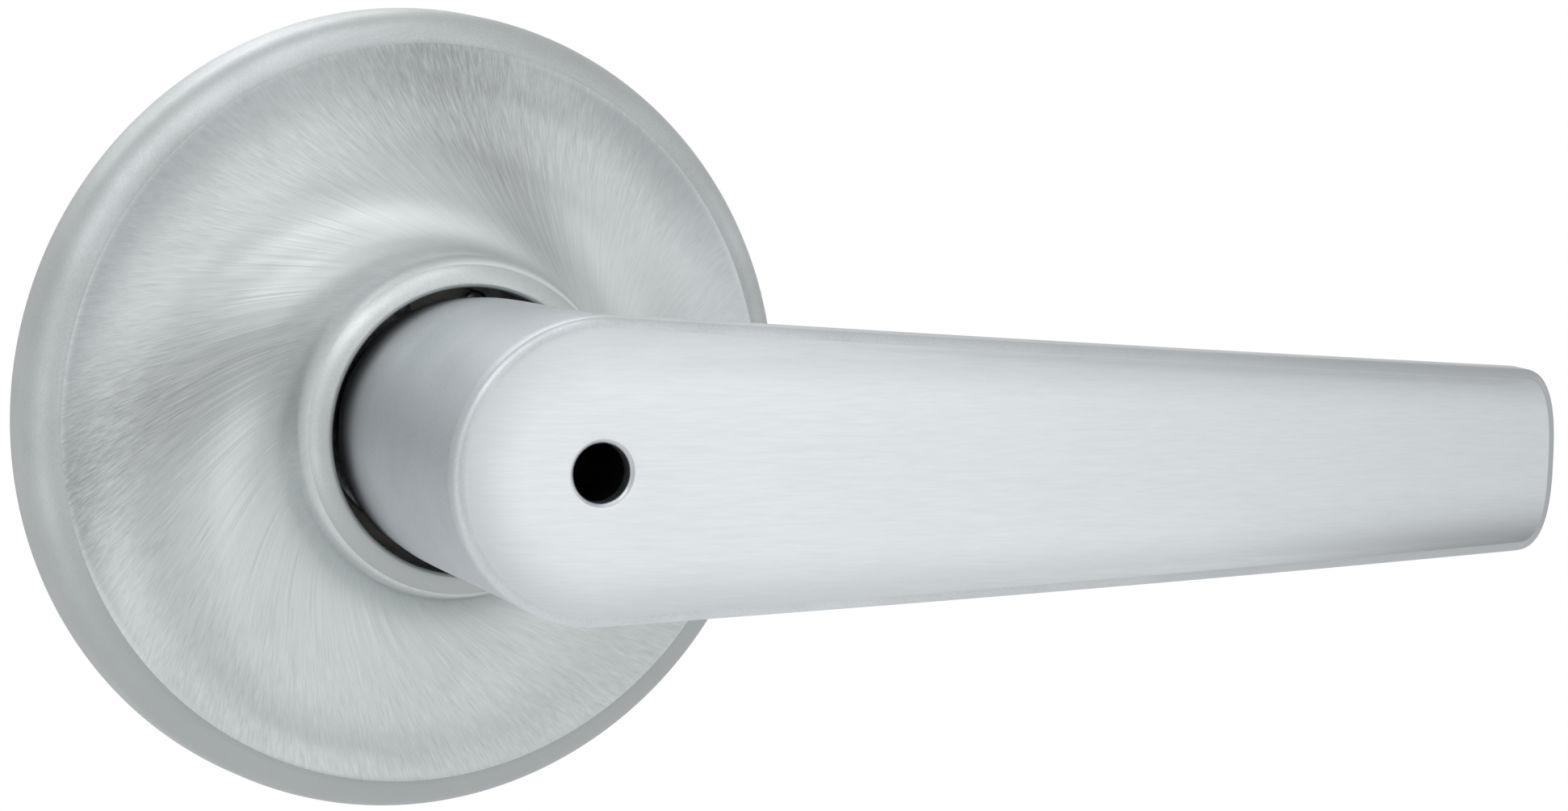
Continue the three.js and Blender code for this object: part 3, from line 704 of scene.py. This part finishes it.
def rose_cover():
    rim, brushed, interior_shade, lip_polish_and_shade = range(4)
    roll = rolled_rim(0.0, 24)
    dish = bezier([roll[-1], (22, 4.3), (14.4, 9.5), (COLLAR_HOLE_R + 2 * LIP_R, COLLAR_H - LIP_R)], 76)
    # the collar's shoulder takes over from the dish a little below its end
    shoulder = bezier([dish[-8], dish[-1], (13.2, 18.85), (LIP_TOP_R, COLLAR_H)], 22)
    lip = [tuple(p) for p in shoulder[1:]]
    lip += arc((LIP_TOP_R, COLLAR_H - LIP_ROUND), LIP_ROUND, 90, 180, 8)[1:]
    along = np.gradient(dish, axis=0)
    along /= np.linalg.norm(along, axis=1)[:, None]
    inner = dish + ROSE_WALL * np.stack([-along[:, 1], along[:, 0]], 1)
    # the rolled rim meets the dish in a ridge, slightly rounded
    before, after = np.array(roll[-3]), dish[2]
    ridge = [tuple((1 - t) ** 2 * before + 2 * t * (1 - t) * np.array(roll[-1]) + t ** 2 * after)
             for t in np.linspace(0, 1, 9)[1:-1]]
    back = [(COLLAR_HOLE_R, COLLAR_H - 2.3), (COLLAR_HOLE_R + 0.08, COLLAR_H - 2.5)]
    foot_in, foot_out = ROSE_R - ROSE_WALL, ROSE_R
    outside = [(foot_out - 0.2, 0.0), (foot_out - 0.06, 0.06), (foot_out, 0.2), (foot_out, 1.6)]
    outside += roll[:-2] + ridge
    shown = outside + [tuple(p) for p in dish[2:-7]] + lip
    hidden = back + [tuple(p) for p in inner[2:-1][::-1]] + rolled_rim(ROSE_WALL, 12)[::-1]
    hidden += [(foot_in, 0.2), (foot_in + 0.06, 0.06), (foot_in + 0.2, 0.0)]
    dish_first = len(outside) - 4
    dish_last = len(shown) - len(lip) + 8
    slots = [rim if k < dish_first else brushed if k <= dish_last else lip_polish_and_shade
             for k in range(len(shown))]
    # the shell's inside is near black: painted shade
    slots += [interior_shade] * len(hidden)
    obj = lathe("rose_shell", shown + hidden, 288, slots)
    for material in (RIM, DISH, INTERIOR_SHADE, LIP):
        obj.data.materials.append(material)
    return smooth(obj, 50)


stand_in(rose_cover(), "rose_cover", "chassis")

# ---- plate, posts and cage --------------------------------------------------

EARS = [(EAR_AT * math.cos(math.radians(a)), EAR_AT * math.sin(math.radians(a))) for a in EAR_ANGLES]


def mounting_plate():
    plate_r, tube_hole_r, post_hole_r = 31.6, 8.8, 2.1
    holes = [circle(tube_hole_r, 96), circle(post_hole_r, 40, POST_X), circle(post_hole_r, 40, -POST_X)]
    holes += [circle(EAR_HOLE_R, 32, x, z) for x, z in EARS]
    return flat("plate", circle(plate_r, 192), holes, 0.1, 1.6, 0.18)


def mounting_post(name, side):
    """A shouldered post, staked through the plate, tapped from its far end."""
    segments, tap, pitch, end = 48, 1.6, 0.7, -24.0
    body = [(POST_R - 0.45, end), (POST_R - 0.12, end + 0.3), (POST_R, end + 0.6), (POST_R, -0.2),
            (POST_R - 0.1, -0.05), (POST_R - 0.25, 0.0), (2.0, 0.0)]
    staked = [(2.0, 1.7), (2.45, 1.7), (2.6, 1.78), (2.6, 1.95), (2.45, 2.15), (2.15, 2.28), (1.7, 2.3),
              (1.35, 2.2), (0.7, 2.12), (0, 2.1)]
    hole = [[(0, -(end + 16), 0)], ring(tap * 0.6, end + 15.7, segments), ring(tap, end + 15, segments)]
    hole += [threaded(tap, tap + 0.3, h, pitch, segments)
             for h in np.arange(end + 14.6, end + 0.5, -pitch / 6)]
    hole += [ring(tap + 0.3, end + 0.35, segments), ring(tap + 0.5, end, segments)]
    obj = skin(name, hole + [ring(r, h, segments) for r, h in body + staked])
    obj.data.transform(Matrix.Translation((side * POST_X * MM, 0, 0)))
    return obj


def cover_clip(name, angle):
    """A strip with a hooked end that snaps inside the rose's wall."""
    outline = [(25.6, 1.7), (30.8, 1.7), (31.5, 1.78), (31.95, 2.05), (32.3, 2.5), (32.32, 2.66),
               (32.15, 2.74), (31.85, 2.68), (31.5, 2.42), (31.1, 2.25), (30.6, 2.2), (25.6, 2.2)]
    obj = flat(name, eased(outline, 0.1), [], -3.5, 3.5, 0.1)
    return swung(rotated(obj, 90, "X"), angle)


def spring_housing():
    """A cup with four ears, a tang for the spring and two stops for the driver's lug."""
    cup = turned("housing", [(HOUSING_IN, 1.7), (HOUSING_R, 1.7), (HOUSING_R, 9.0), (9.85, 9.0), (9.85, 7.8),
                             (HOUSING_IN, 7.8)], 128, 0.3)
    tools = []
    for angle in EAR_ANGLES:
        tab = [(15.4, -3.3)] + arc((EAR_AT, 0), 3.3, -90, 90, 20) + [(15.4, 3.3)]
        ear = flat("ear", np.array(tab), [circle(EAR_HOLE_R, 32, EAR_AT)], 1.7, 2.9, 0.15)
        tools.append(swung(ear, angle))
    tools.append(flat("tang", box_outline(-1.6, 1.6, -15.4, -14.3), [], 3.5, 8.0, 0.12))
    for start in (15, 156):
        tools.append(flat("stop", sector(11.5, 15.4, start, start + 9, 6), [], 1.7, 3.2, 0.12))
    return boolean(cup, "UNION", *tools)


def housing_screw(name, x, z):
    """A screw with a domed head and a cross slot."""
    head_r, dome_from, dome_h = 2.6, 3.55, 0.85
    head = [(0, 0.2), (1.2, 0.2), (1.45, 0.45), (1.45, 3.0), (head_r, 3.0), (head_r, dome_from)]
    head += [(head_r - head_r * t, dome_from + dome_h * math.sqrt(1 - (1 - t) ** 2))
             for t in (0.05, 0.15, 0.3, 0.45)]
    obj = lathe(name, head + [(1.2, 4.4), (0, 4.4)], 40)
    slots = [flat("slot", eased(box_outline(-a, a, -b, b), 0.2), [], 3.5, 5.4, 0.02)
             for a, b in ((1.4, 0.35), (0.35, 1.4))]
    boolean(obj, "DIFFERENCE", *slots)
    obj.data.transform(Matrix.Translation((x * MM, 0, z * MM)))
    return obj


fit(mounting_plate(), "mounting_plate", "chassis", "zinc_plated_steel")
fit(mounting_post("post_right", 1), "mounting_post_right", "chassis", "zinc_plated_steel")
fit(mounting_post("post_left", -1), "mounting_post_left", "chassis", "zinc_plated_steel")
for number, angle in enumerate((90, 210, 330), 1):
    fit(cover_clip(f"clip_{number}", angle), f"cover_clip_{number}", "chassis", "spring_steel")
fit(spring_housing(), "spring_housing", "chassis", "zinc_casting")
for number, (x, z) in enumerate(EARS, 1):
    fit(housing_screw(f"screw_{number}", x, z), f"housing_screw_{number}", "chassis", "zinc_plated_steel")
fit(turned("bush", [(8.65, 7.0), (10.4, 7.0), (10.4, 7.7), (9.75, 7.7), (9.75, 9.0), (8.65, 9.0)]),
    "bearing_bush", "chassis", "acetal")
fit(turned("washer", [(8.65, 9.05), (11.2, 9.05), (11.2, 9.6), (8.65, 9.6)]),
    "thrust_washer", "chassis", "acetal")

# ---- springs ----------------------------------------------------------------


def return_spring():
    """A torsion spring. Its two legs straddle the tangs of the cage and the driver."""
    r, low, high, leg_x, leg_end, bend = 11.6, 4.0, 6.95, 2.45, 14.1, 1.3
    free = math.asin((leg_x + bend) / r)
    steps = 80
    a = np.linspace(-math.pi / 2 + free, 3.5 * math.pi - free, steps + 1)
    coil = [(r * math.cos(t), -low - (high - low) * i / steps, r * math.sin(t)) for i, t in enumerate(a)]
    first = [(leg_x, -low, -reach) for reach in (leg_end, 13.5, r + bend)]
    last = [(-leg_x, -high, -reach) for reach in (r + bend, 13.5, leg_end)]
    return wire("torsion_spring", rounded_path(first + coil + last, 4), 0.65, 16)


def release_spring():
    """A coil spring between the spindle's head and the plunger."""
    r, wire_r, low, high, turns = 3.45, 0.35, 13.2, 22.9, 6
    steps = turns * 40
    heights = low + wire_r + (high - low - 2 * wire_r) * np.linspace(0, 1, steps + 1)
    a = np.linspace(0, 2 * math.pi * turns, steps + 1)
    return wire("coil_spring", np.stack([r * np.cos(a), -heights, r * np.sin(a)], 1), wire_r, 12)


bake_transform(fit(return_spring(), "return_spring", None, "spring_steel", 60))
coil = fit(release_spring(), "release_spring", "lever", "spring_steel", 60)
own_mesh(coil)

# ---- lever ------------------------------------------------------------------


def face_drop(x):
    """How far the face has curved back towards the door at x."""
    past = np.maximum(0, x - BEND_START)
    return BEND_R - np.sqrt(BEND_R ** 2 - past ** 2)


TAPER = (HUB_FACE_R - TIP_HALF) / TIP_X
TAPER_ANGLE = math.atan(TAPER)
TAPER_START = HUB_FACE_R * math.sin(TAPER_ANGLE)


def half_height(x):
    """Half the blade's height at x: a half-round hub end, straight tapering edges, a superellipse tip."""
    x = np.asarray(x, float)
    straight = HUB_FACE_R * math.hypot(1, TAPER) - TAPER * x
    along = np.clip((x - (TIP_X - TIP_SPAN)) / TIP_SPAN, 0, 1)
    tip = straight * (1 - along ** TIP_POWER) ** (1 / TIP_POWER)
    hub = np.sqrt(np.maximum(0, HUB_FACE_R ** 2 - x ** 2))
    return np.where(x < TAPER_START, hub, tip)


def blade_outline():
    """Points round the blade, from the tip's middle over the top edge to the hub and back along the lower."""
    body_end = TIP_X - TIP_SPAN
    t = np.linspace(0, math.pi / 2, 33)
    tip_x = body_end + TIP_SPAN * np.cos(t) ** (2 / TIP_POWER)
    tip_z = half_height(tip_x)
    tip_z[0] = 0
    body_x = np.linspace(body_end, TAPER_START, 71)[1:-1]
    hub = np.linspace(math.pi / 2 - TAPER_ANGLE, math.pi, 46)
    top = np.concatenate([np.stack([tip_x, tip_z], 1), np.stack([body_x, half_height(body_x)], 1),
                          HUB_FACE_R * np.stack([np.cos(hub), np.sin(hub)], 1)])
    return np.concatenate([top, top[1:-1][::-1] * (1, -1)])


def outward(points):
    """The outward direction at each point of a closed outline."""
    ahead = np.roll(points, -1, 0) - points
    behind = points - np.roll(points, 1, 0)
    ahead /= np.linalg.norm(ahead, axis=1)[:, None]
    behind /= np.linalg.norm(behind, axis=1)[:, None]
    along = ahead + behind
    along /= np.linalg.norm(along, axis=1)[:, None]
    return np.stack([along[:, 1], -along[:, 0]], 1)


def neck_radius(h):
    heights = [p[0] for p in NECK]
    radii = [p[1] for p in NECK]
    return np.interp(h, heights, radii)


def smoothstep(value, low, high):
    t = np.clip((value - low) / (high - low), 0, 1)
    return t * t * (3 - 2 * t)


def back_depth(x, z):
    """Thickness of the blade at a place: crowned along the middle, and thicker where it leaves the neck."""
    half = np.maximum(half_height(np.minimum(x, TIP_X - TIP_SPAN)), 1.0)
    across = np.clip(1 - (z / half) ** 2, 0, 1)
    root = ROOT_T * smoothstep(x, 0, HUB_FACE_R) * np.exp(-np.maximum(0, x - HUB_FACE_R) / ROOT_SPAN)
    return BLADE_T + (BLADE_CROWN * smoothstep(x, -2, 12) + root) * across


def lever_body():
    """Rings from the release hole over the face, the edge and the back, down the neck and up its bore."""
    face, neck_satin_and_shade, interior_shade, edge_satin_and_shade = range(4)
    outline = blade_outline()
    out = outward(outline)
    count = len(outline)
    reach = np.linalg.norm(outline, axis=1)
    direction = outline / reach[:, None]
    brink = FACE_H - face_drop(outline[:, 0])
    top = brink - BUFFED
    rings, slots = [], []

    def add(points, h, slot):
        rings.append(at_height(points, np.full(count, h) if np.isscalar(h) else h))
        slots.append(slot)

    # the release hole, which has a rounded mouth and a near-black inside painted as shade, and the face
    for h in (LEVER_BORE_END, 40.0, 44.0):
        add(direction * RELEASE_HOLE_R, h, interior_shade)
    for wider, below in ((0, 1.5), (0, 0.32), (0.06, 0.2), (0.28, 0.02)):
        add(direction * (RELEASE_HOLE_R + wider), FACE_H - below, neck_satin_and_shade)
    mouth = direction * (RELEASE_HOLE_R + 0.36)
    add(mouth, FACE_H, face)
    face_edge = outline - out * (EDGE_R + 0.12)
    breadth = np.linalg.norm(face_edge - mouth, axis=1)
    for t in np.linspace(0, 1, 37)[1:]:
        points = mouth * (1 - t) + face_edge * t
        near_edge = np.clip(1 - breadth * (1 - t) / BUFFED_SPAN, 0, 1)
        add(points, FACE_H - face_drop(points[:, 0]) - BUFFED * near_edge ** 2, face)
    # the rounded edge
    for degrees in range(0, 91, 10):
        a = math.radians(degrees)
        points = outline - out * EDGE_R * (1 - math.sin(a))
        add(points, FACE_H - face_drop(points[:, 0]) - BUFFED - EDGE_R * (1 - math.cos(a)), edge_satin_and_shade)
    # the side wall: deep at the hub, where it runs into the neck, and thin along the blade
    room = reach - NECK_JOIN_R
    sliver = smoothstep(room, 0.25, 4.0)
    wall = HUB_WALL + (BLADE_T - HUB_WALL) * sliver
    round_r = np.minimum(BACK_EDGE_R, 0.35 * room) * sliver
    foot = outline - direction * np.minimum(0.25, room)[:, None] * (1 - sliver)[:, None]
    low = brink - wall
    for t in np.linspace(0, 1, 6)[1:]:
        points = outline * (1 - t) + foot * t
        add(points, (top - EDGE_R) * (1 - t) + (low + round_r) * t, neck_satin_and_shade)
    # the rounded back edge
    for degrees in range(15, 91, 15):
        a = math.radians(degrees)
        points = foot - out * (round_r * (1 - math.cos(a)))[:, None]
        add(points, low + round_r - round_r * math.sin(a), neck_satin_and_shade)
    # the back, down to the neck with a cast fillet
    edge = foot - out * round_r[:, None]
    neck = direction * NECK_JOIN_R
    depth_edge = back_depth(edge[:, 0], edge[:, 1])
    fillet = np.minimum(FILLET_R, 0.8 * room) * sliver
    span = np.linalg.norm(edge - neck, axis=1)
    for t in 1 - (1 - np.linspace(0, 1, 27)[1:]) ** 1.9:
        points = edge * (1 - t) + neck * t
        at_edge = np.clip(1 - span * t / TIP_BLEND, 0, 1) ** 2
        gone = back_depth(points[:, 0], points[:, 1]) - BLADE_T - (depth_edge - BLADE_T) * at_edge
        near = np.clip(fillet - span * (1 - t), 0, None)
        bend = fillet - np.sqrt(np.maximum(fillet ** 2 - near ** 2, 0))
        level = FACE_H - face_drop(points[:, 0]) - wall - gone
        add(points, level - bend, neck_satin_and_shade)
    joined = -rings[-1][:, 1]
    # the neck, from there to its end inside the collar
    for t in np.linspace(0, 1, 14)[1:]:
        h = joined * (1 - t) + 30.0 * t
        add(direction * neck_radius(np.minimum(h, NECK[-2][0]))[:, None], h, neck_satin_and_shade)
    for h in (28.0, 26.5, 25.0, 23.8, 22.6, 21.5, 20.5, 19.5, 18.5, NECK_END + 0.6):
        add(direction * float(neck_radius(h)), h, neck_satin_and_shade)
    add(direction * 10.78, NECK_END + 0.18, neck_satin_and_shade)
    add(direction * 10.4, NECK_END, neck_satin_and_shade)
    # its bore, and the flat at the bore's end, near black: painted shade
    for r, h in ((LEVER_BORE_R + 0.3, NECK_END), (LEVER_BORE_R, NECK_END + 0.3), (LEVER_BORE_R, 24.0),
                 (LEVER_BORE_R, 31.0), (LEVER_BORE_R, LEVER_BORE_END - 0.3),
                 (LEVER_BORE_R - 0.3, LEVER_BORE_END), (5.0, LEVER_BORE_END)):
        add(direction * r, h, interior_shade)
    obj = skin("lever_body", rings, True, slots)
    for material in (BLADE, NECK_SATIN_AND_SHADE, INTERIOR_SHADE, EDGE):
        obj.data.materials.append(material)
    boolean(obj, "DIFFERENCE", radial("hole", [(0, 7.5), (2.6, 7.5), (2.6, 11.45), (3.1, 11.95), (3.1, 13.5),
                                               (0, 13.5)], SET_SCREW_H, -90, 64, 0.05))
    return smooth(obj, 50)


stand_in(lever_body(), "lever_handle", "lever")

# ---- what turns with the lever ----------------------------------------------


def drive_tube():
    """A tube with the retaining ring's groove, the driver's slot, and holes for the screw and pins."""
    obj = turned("tube", [(TUBE_BORE, 0.2), (TUBE_R, 0.2), (TUBE_R, 9.7), (7.95, 9.7), (7.95, 10.8),
                          (TUBE_R, 10.8), (TUBE_R, 35.1), (TUBE_R - 0.45, 35.5), (TUBE_BORE, 35.5)], 128)
    cuts = [flat("slot", box_outline(-9.5, 9.5, -1.5, 1.5), [], -1.0, 3.4, 0.05)]
    cuts.append(radial("hole", rod(2.6, 6.5, 9.5), SET_SCREW_H, -90))
    cuts += [radial("hole", rod(PIN_HOLE_R, 6.3, 9.5), PIN_H, angle) for angle in (0, 180)]
    return boolean(obj, "DIFFERENCE", *cuts)


def spring_driver():
    """A ring with two tongues in the tube's slot, a stop lug, and an arm with the spring's tang."""
    low, high, tang_high = 1.9, 3.2, 7.0
    obj = flat("driver", circle(10.3, 128), [circle(8.6, 96)], low, high)
    extra = [flat("lug", sector(9.5, 14.3, 76, 104, 16), [], low, high)]
    extra += [flat("tongue", box_outline(x, x + 1.7, -1.4, 1.4), [], low, high) for x in (7.5, -9.2)]
    extra.append(flat("arm", box_outline(-1.6, 1.6, -13.9, -9.4), [], low, high))
    extra.append(flat("tang", box_outline(-1.6, 1.6, -13.9, -12.9), [], low, tang_high))
    return boolean(obj, "UNION", *extra)


def retaining_ring():
    """An open ring with an eye at each end."""
    low, high, eye_at = 9.8, 10.7, 10.3
    obj = flat("snap_ring", sector(8.05, 9.7, 104, 436, 120), [], low, high, 0.1)
    eyes = []
    for degrees in (109.5, 430.5):
        a = math.radians(degrees)
        x, z = eye_at * math.cos(a), eye_at * math.sin(a)
        eyes.append(flat("eye", circle(1.05, 32, x, z), [circle(0.5, 20, x, z)], low, high, 0.1))
    return boolean(obj, "UNION", *eyes)


def spindle_hub():
    obj = flat("hub", circle(7.2, 96), [eased(square(BAR_SIDE + 0.2), 0.3)], 1.0, 11.2, 0.25)
    holes = [radial("hole", rod(PIN_HOLE_R, 5.8, 8.5), PIN_H, a) for a in (0, 180)]
    return boolean(obj, "DIFFERENCE", *holes)


def spindle():
    """A square bar with a round head, bored through for the release rod."""
    obj = flat("spindle_bar", eased(square(BAR_SIDE), 0.25), [], BAR_END, 11.9, 0.1)
    boolean(obj, "UNION", turned("head", rod(5.6, 11.3, 12.8), 96, 0.3))
    beyond = BAR_END - 1
    half, corner = BAR_SIDE / 2, BAR_SIDE / 2 * math.sqrt(2)
    chamfer = lathe("chamfer", [(corner + 1, beyond), (corner + 1, -47.8), (corner, -47.8), (half, BAR_END),
                                (half, beyond)], 96)
    return boolean(obj, "DIFFERENCE", chamfer, lathe("bore", rod(2.1, beyond, 14.0), 48))


def push_nut():
    """A thin sprung washer whose teeth grip the spindle."""
    notches = []
    half = (BAR_SIDE + 0.1) / 2
    side = [(half, -1.4), (half, -1.0), (half + 0.9, -1.0), (half + 0.9, 1.0), (half, 1.0), (half, 1.4),
            (half, half)]
    for k in range(4):
        a = k * math.pi / 2
        notches += [(x * math.cos(a) - z * math.sin(a), x * math.sin(a) + z * math.cos(a)) for x, z in side]
    return flat("spring_nut", circle(6.4, 96), [np.array(notches)], 0.3, 0.8, 0.08)


def set_screw():
    """A headless screw with a hexagon socket."""
    outer, inner, segments = 11.2, 7.6, 48
    rings = [[(0, -inner, 0)], ring(1.6, inner, segments), ring(2.1, inner + 0.35, segments)]
    rings += [threaded(2.45, 2.15, h, 0.8, segments) for h in np.arange(inner + 0.45, outer - 0.3, 0.1)]
    rings += [ring(2.25, outer - 0.15, segments), ring(2.05, outer, segments), [(0, -outer, 0)]]
    obj = skin("grub_screw", rings)
    boolean(obj, "DIFFERENCE", flat("socket", circle(1.45, 6), [], 9.2, 12.0, 0.02))
    return swung(rotated(obj, 90, "Z", (0, -SET_SCREW_H, 0)), -90)


fit(drive_tube(), "drive_tube", "lever", "zinc_plated_steel")
fit(spring_driver(), "spring_driver", "lever", "zinc_plated_steel")
fit(retaining_ring(), "retaining_ring", "lever", "spring_steel")
fit(spindle_hub(), "spindle_hub", "lever", "zinc_casting")
for number, angle in enumerate((0, 180), 1):
    fit(radial(f"pin_{number}", rod(1.0, 5.9, 8.4), PIN_H, angle, 40, 0.15), f"hub_pin_{number}", "lever",
        "spring_steel")
fit(spindle(), "spindle", "lever", "zinc_plated_steel")
fit(push_nut(), "spindle_push_nut", "lever", "spring_steel")
fit(set_screw(), "lever_set_screw", "lever", "black_oxide")
fit(turned("guide", [(2.5, 25.0), (7.2, 25.0), (7.2, 28.5), (2.5, 28.5)], 96, 0.25),
    "release_guide", "lever", "acetal")

# ---- emergency release ------------------------------------------------------


def release_rod():
    """A rod with two flats at its far end."""
    obj = turned("rod", rod(1.75, -47.0, 22.8), 64, 0.25)
    cuts = [flat("flat", box_outline(-3, 3, z, z + 2.2), [], -49.0, -37.0, 0.05) for z in (0.8, -3)]
    return boolean(obj, "DIFFERENCE", *cuts)


fit(turned("plunger", [(0, 22.9), (1.8, 22.9), (1.8, 18.0), (2.3, 18.0), (2.3, 23.3), (5.0, 23.3),
                       (5.0, 24.7), (2.3, 24.7), (2.3, 34.4), (1.9, 34.8), (0, 34.8)], 64),
    "release_plunger", "release", "zinc_casting")
fit(release_rod(), "release_rod", "release", "zinc_plated_steel")

# ---- stage ------------------------------------------------------------------

# Lengths in this section are metres.

FLOOR_LEVEL = -0.5
FLOOR_HALF = 2.6
FLOOR_FADE = (1.0, 2.5)            # from the middle
FLOOR_GLOW = 0.1
FLOOR_FAR_GLOW = 0.4
SURROUND = 0.693                   # strength of the even light from all round


def floor():
    mesh = bpy.data.meshes.new("floor")
    lines = (-FLOOR_HALF, 0.0, FLOOR_HALF)
    verts = [(x, y, FLOOR_LEVEL) for y in lines for x in lines]
    faces = [(a, a + 1, a + 4, a + 3) for a in (0, 1, 3, 4)]
    mesh.from_pydata(verts, [], faces)
    obj = bpy.data.objects.new("floor", mesh)
    bpy.context.scene.collection.objects.link(obj)
    material, tree, shader, place = start_material("pale_floor")
    shader.inputs["Base Color"].default_value = (0.9, 0.9, 0.9, 1)
    shader.inputs["Roughness"].default_value = 0.8
    shader.inputs["Emission Color"].default_value = (1, 1, 1, 1)
    # far off, what the camera sees of it fades to the white of the surroundings
    x, y, _ = split_xyz(tree, place)
    reach = maths(tree, "SQRT", sum_of_squares(tree, x, y))
    seen = node(tree, "ShaderNodeLightPath").outputs["Is Camera Ray"]
    far = times(tree, seen, smooth_ramp(tree, reach, *FLOOR_FADE, FLOOR_FAR_GLOW))
    tree.links.new(plus(tree, far, FLOOR_GLOW), shader.inputs["Emission Strength"])
    mesh.materials.append(material)


def area_light(name, azimuth, elevation, distance, size, power):
    """A soft panel that faces the object, at an angle round it (0 is straight in front) and above it."""
    data = bpy.data.lights.new(name, "AREA")
    data.shape = "RECTANGLE"
    data.size, data.size_y = size
    data.energy = power
    obj = bpy.data.objects.new(name, data)
    a, e = math.radians(azimuth), math.radians(elevation)
    away = Vector((math.sin(a) * math.cos(e), -math.cos(a) * math.cos(e), math.sin(e)))
    obj.location = away * distance
    obj.rotation_euler = away.to_track_quat("Z", "Y").to_euler()
    obj.visible_camera = False
    bpy.context.scene.collection.objects.link(obj)


def world():
    """Even light from all round. The camera sees it as white."""
    made = bpy.data.worlds.new("studio")
    bpy.context.scene.world = made
    made.use_nodes = True
    tree = made.node_tree
    back = tree.nodes["Background"]
    seen = node(tree, "ShaderNodeLightPath").outputs["Is Camera Ray"]
    strength = ranged(tree, seen, SURROUND, 1.0, 0.0, 1.0)
    back.inputs["Color"].default_value = (1, 1, 1, 1)
    tree.links.new(strength, back.inputs["Strength"])


# the camera, from its fit to the photograph's viewing angle
AZIMUTH = math.radians(22.83)
ELEVATION = math.radians(5.94)
ROLL = math.radians(-2.23)
DISTANCE = 0.8146
AIM_RIGHT = 0.0332                 # how far to the right of the axis it looks
LENS = 222.45


def camera():
    forward = Vector((math.sin(AZIMUTH) * math.cos(ELEVATION), math.cos(AZIMUTH) * math.cos(ELEVATION),
                      -math.sin(ELEVATION)))
    level = Vector((math.cos(AZIMUTH), -math.sin(AZIMUTH), 0))
    plumb = level.cross(forward)
    right = math.cos(ROLL) * level - math.sin(ROLL) * plumb
    up = math.sin(ROLL) * level + math.cos(ROLL) * plumb
    data = bpy.data.cameras.new("camera")
    data.lens = LENS
    data.sensor_width = 36.0
    data.clip_start = 0.01
    obj = bpy.data.objects.new("camera", data)
    turn = Matrix((right, up, -forward)).transposed()
    obj.matrix_world = Matrix.Translation(right * AIM_RIGHT - forward * DISTANCE) @ turn.to_4x4()
    bpy.context.scene.collection.objects.link(obj)
    bpy.context.scene.camera = obj


floor()
world()
area_light("left_high", -75, 45, 1.2, (0.6, 0.6), 1.06)
area_light("front_left_high", -45, 45, 1.2, (0.6, 0.6), 0.96)
area_light("front_high", 0, 45, 1.2, (1.0, 0.6), 0.83)
area_light("overhead", 0, 80, 1.2, (0.6, 0.6), 1.1)
area_light("front", 8, 12, 1.2, (0.9, 0.6), 0.8)
area_light("left", -75, 12, 1.2, (0.6, 0.6), 0.33)
area_light("left_low", -75, -20, 1.2, (0.6, 0.6), 0.66)
area_light("right", 75, 12, 1.2, (0.6, 0.6), 0.38)
area_light("front_low", 35, -20, 1.2, (0.8, 0.6), 0.22)
area_light("rear", 180, 35, 1.4, (0.9, 0.7), 3.0)
camera()
bpy.context.scene.view_settings.view_transform = "Standard"
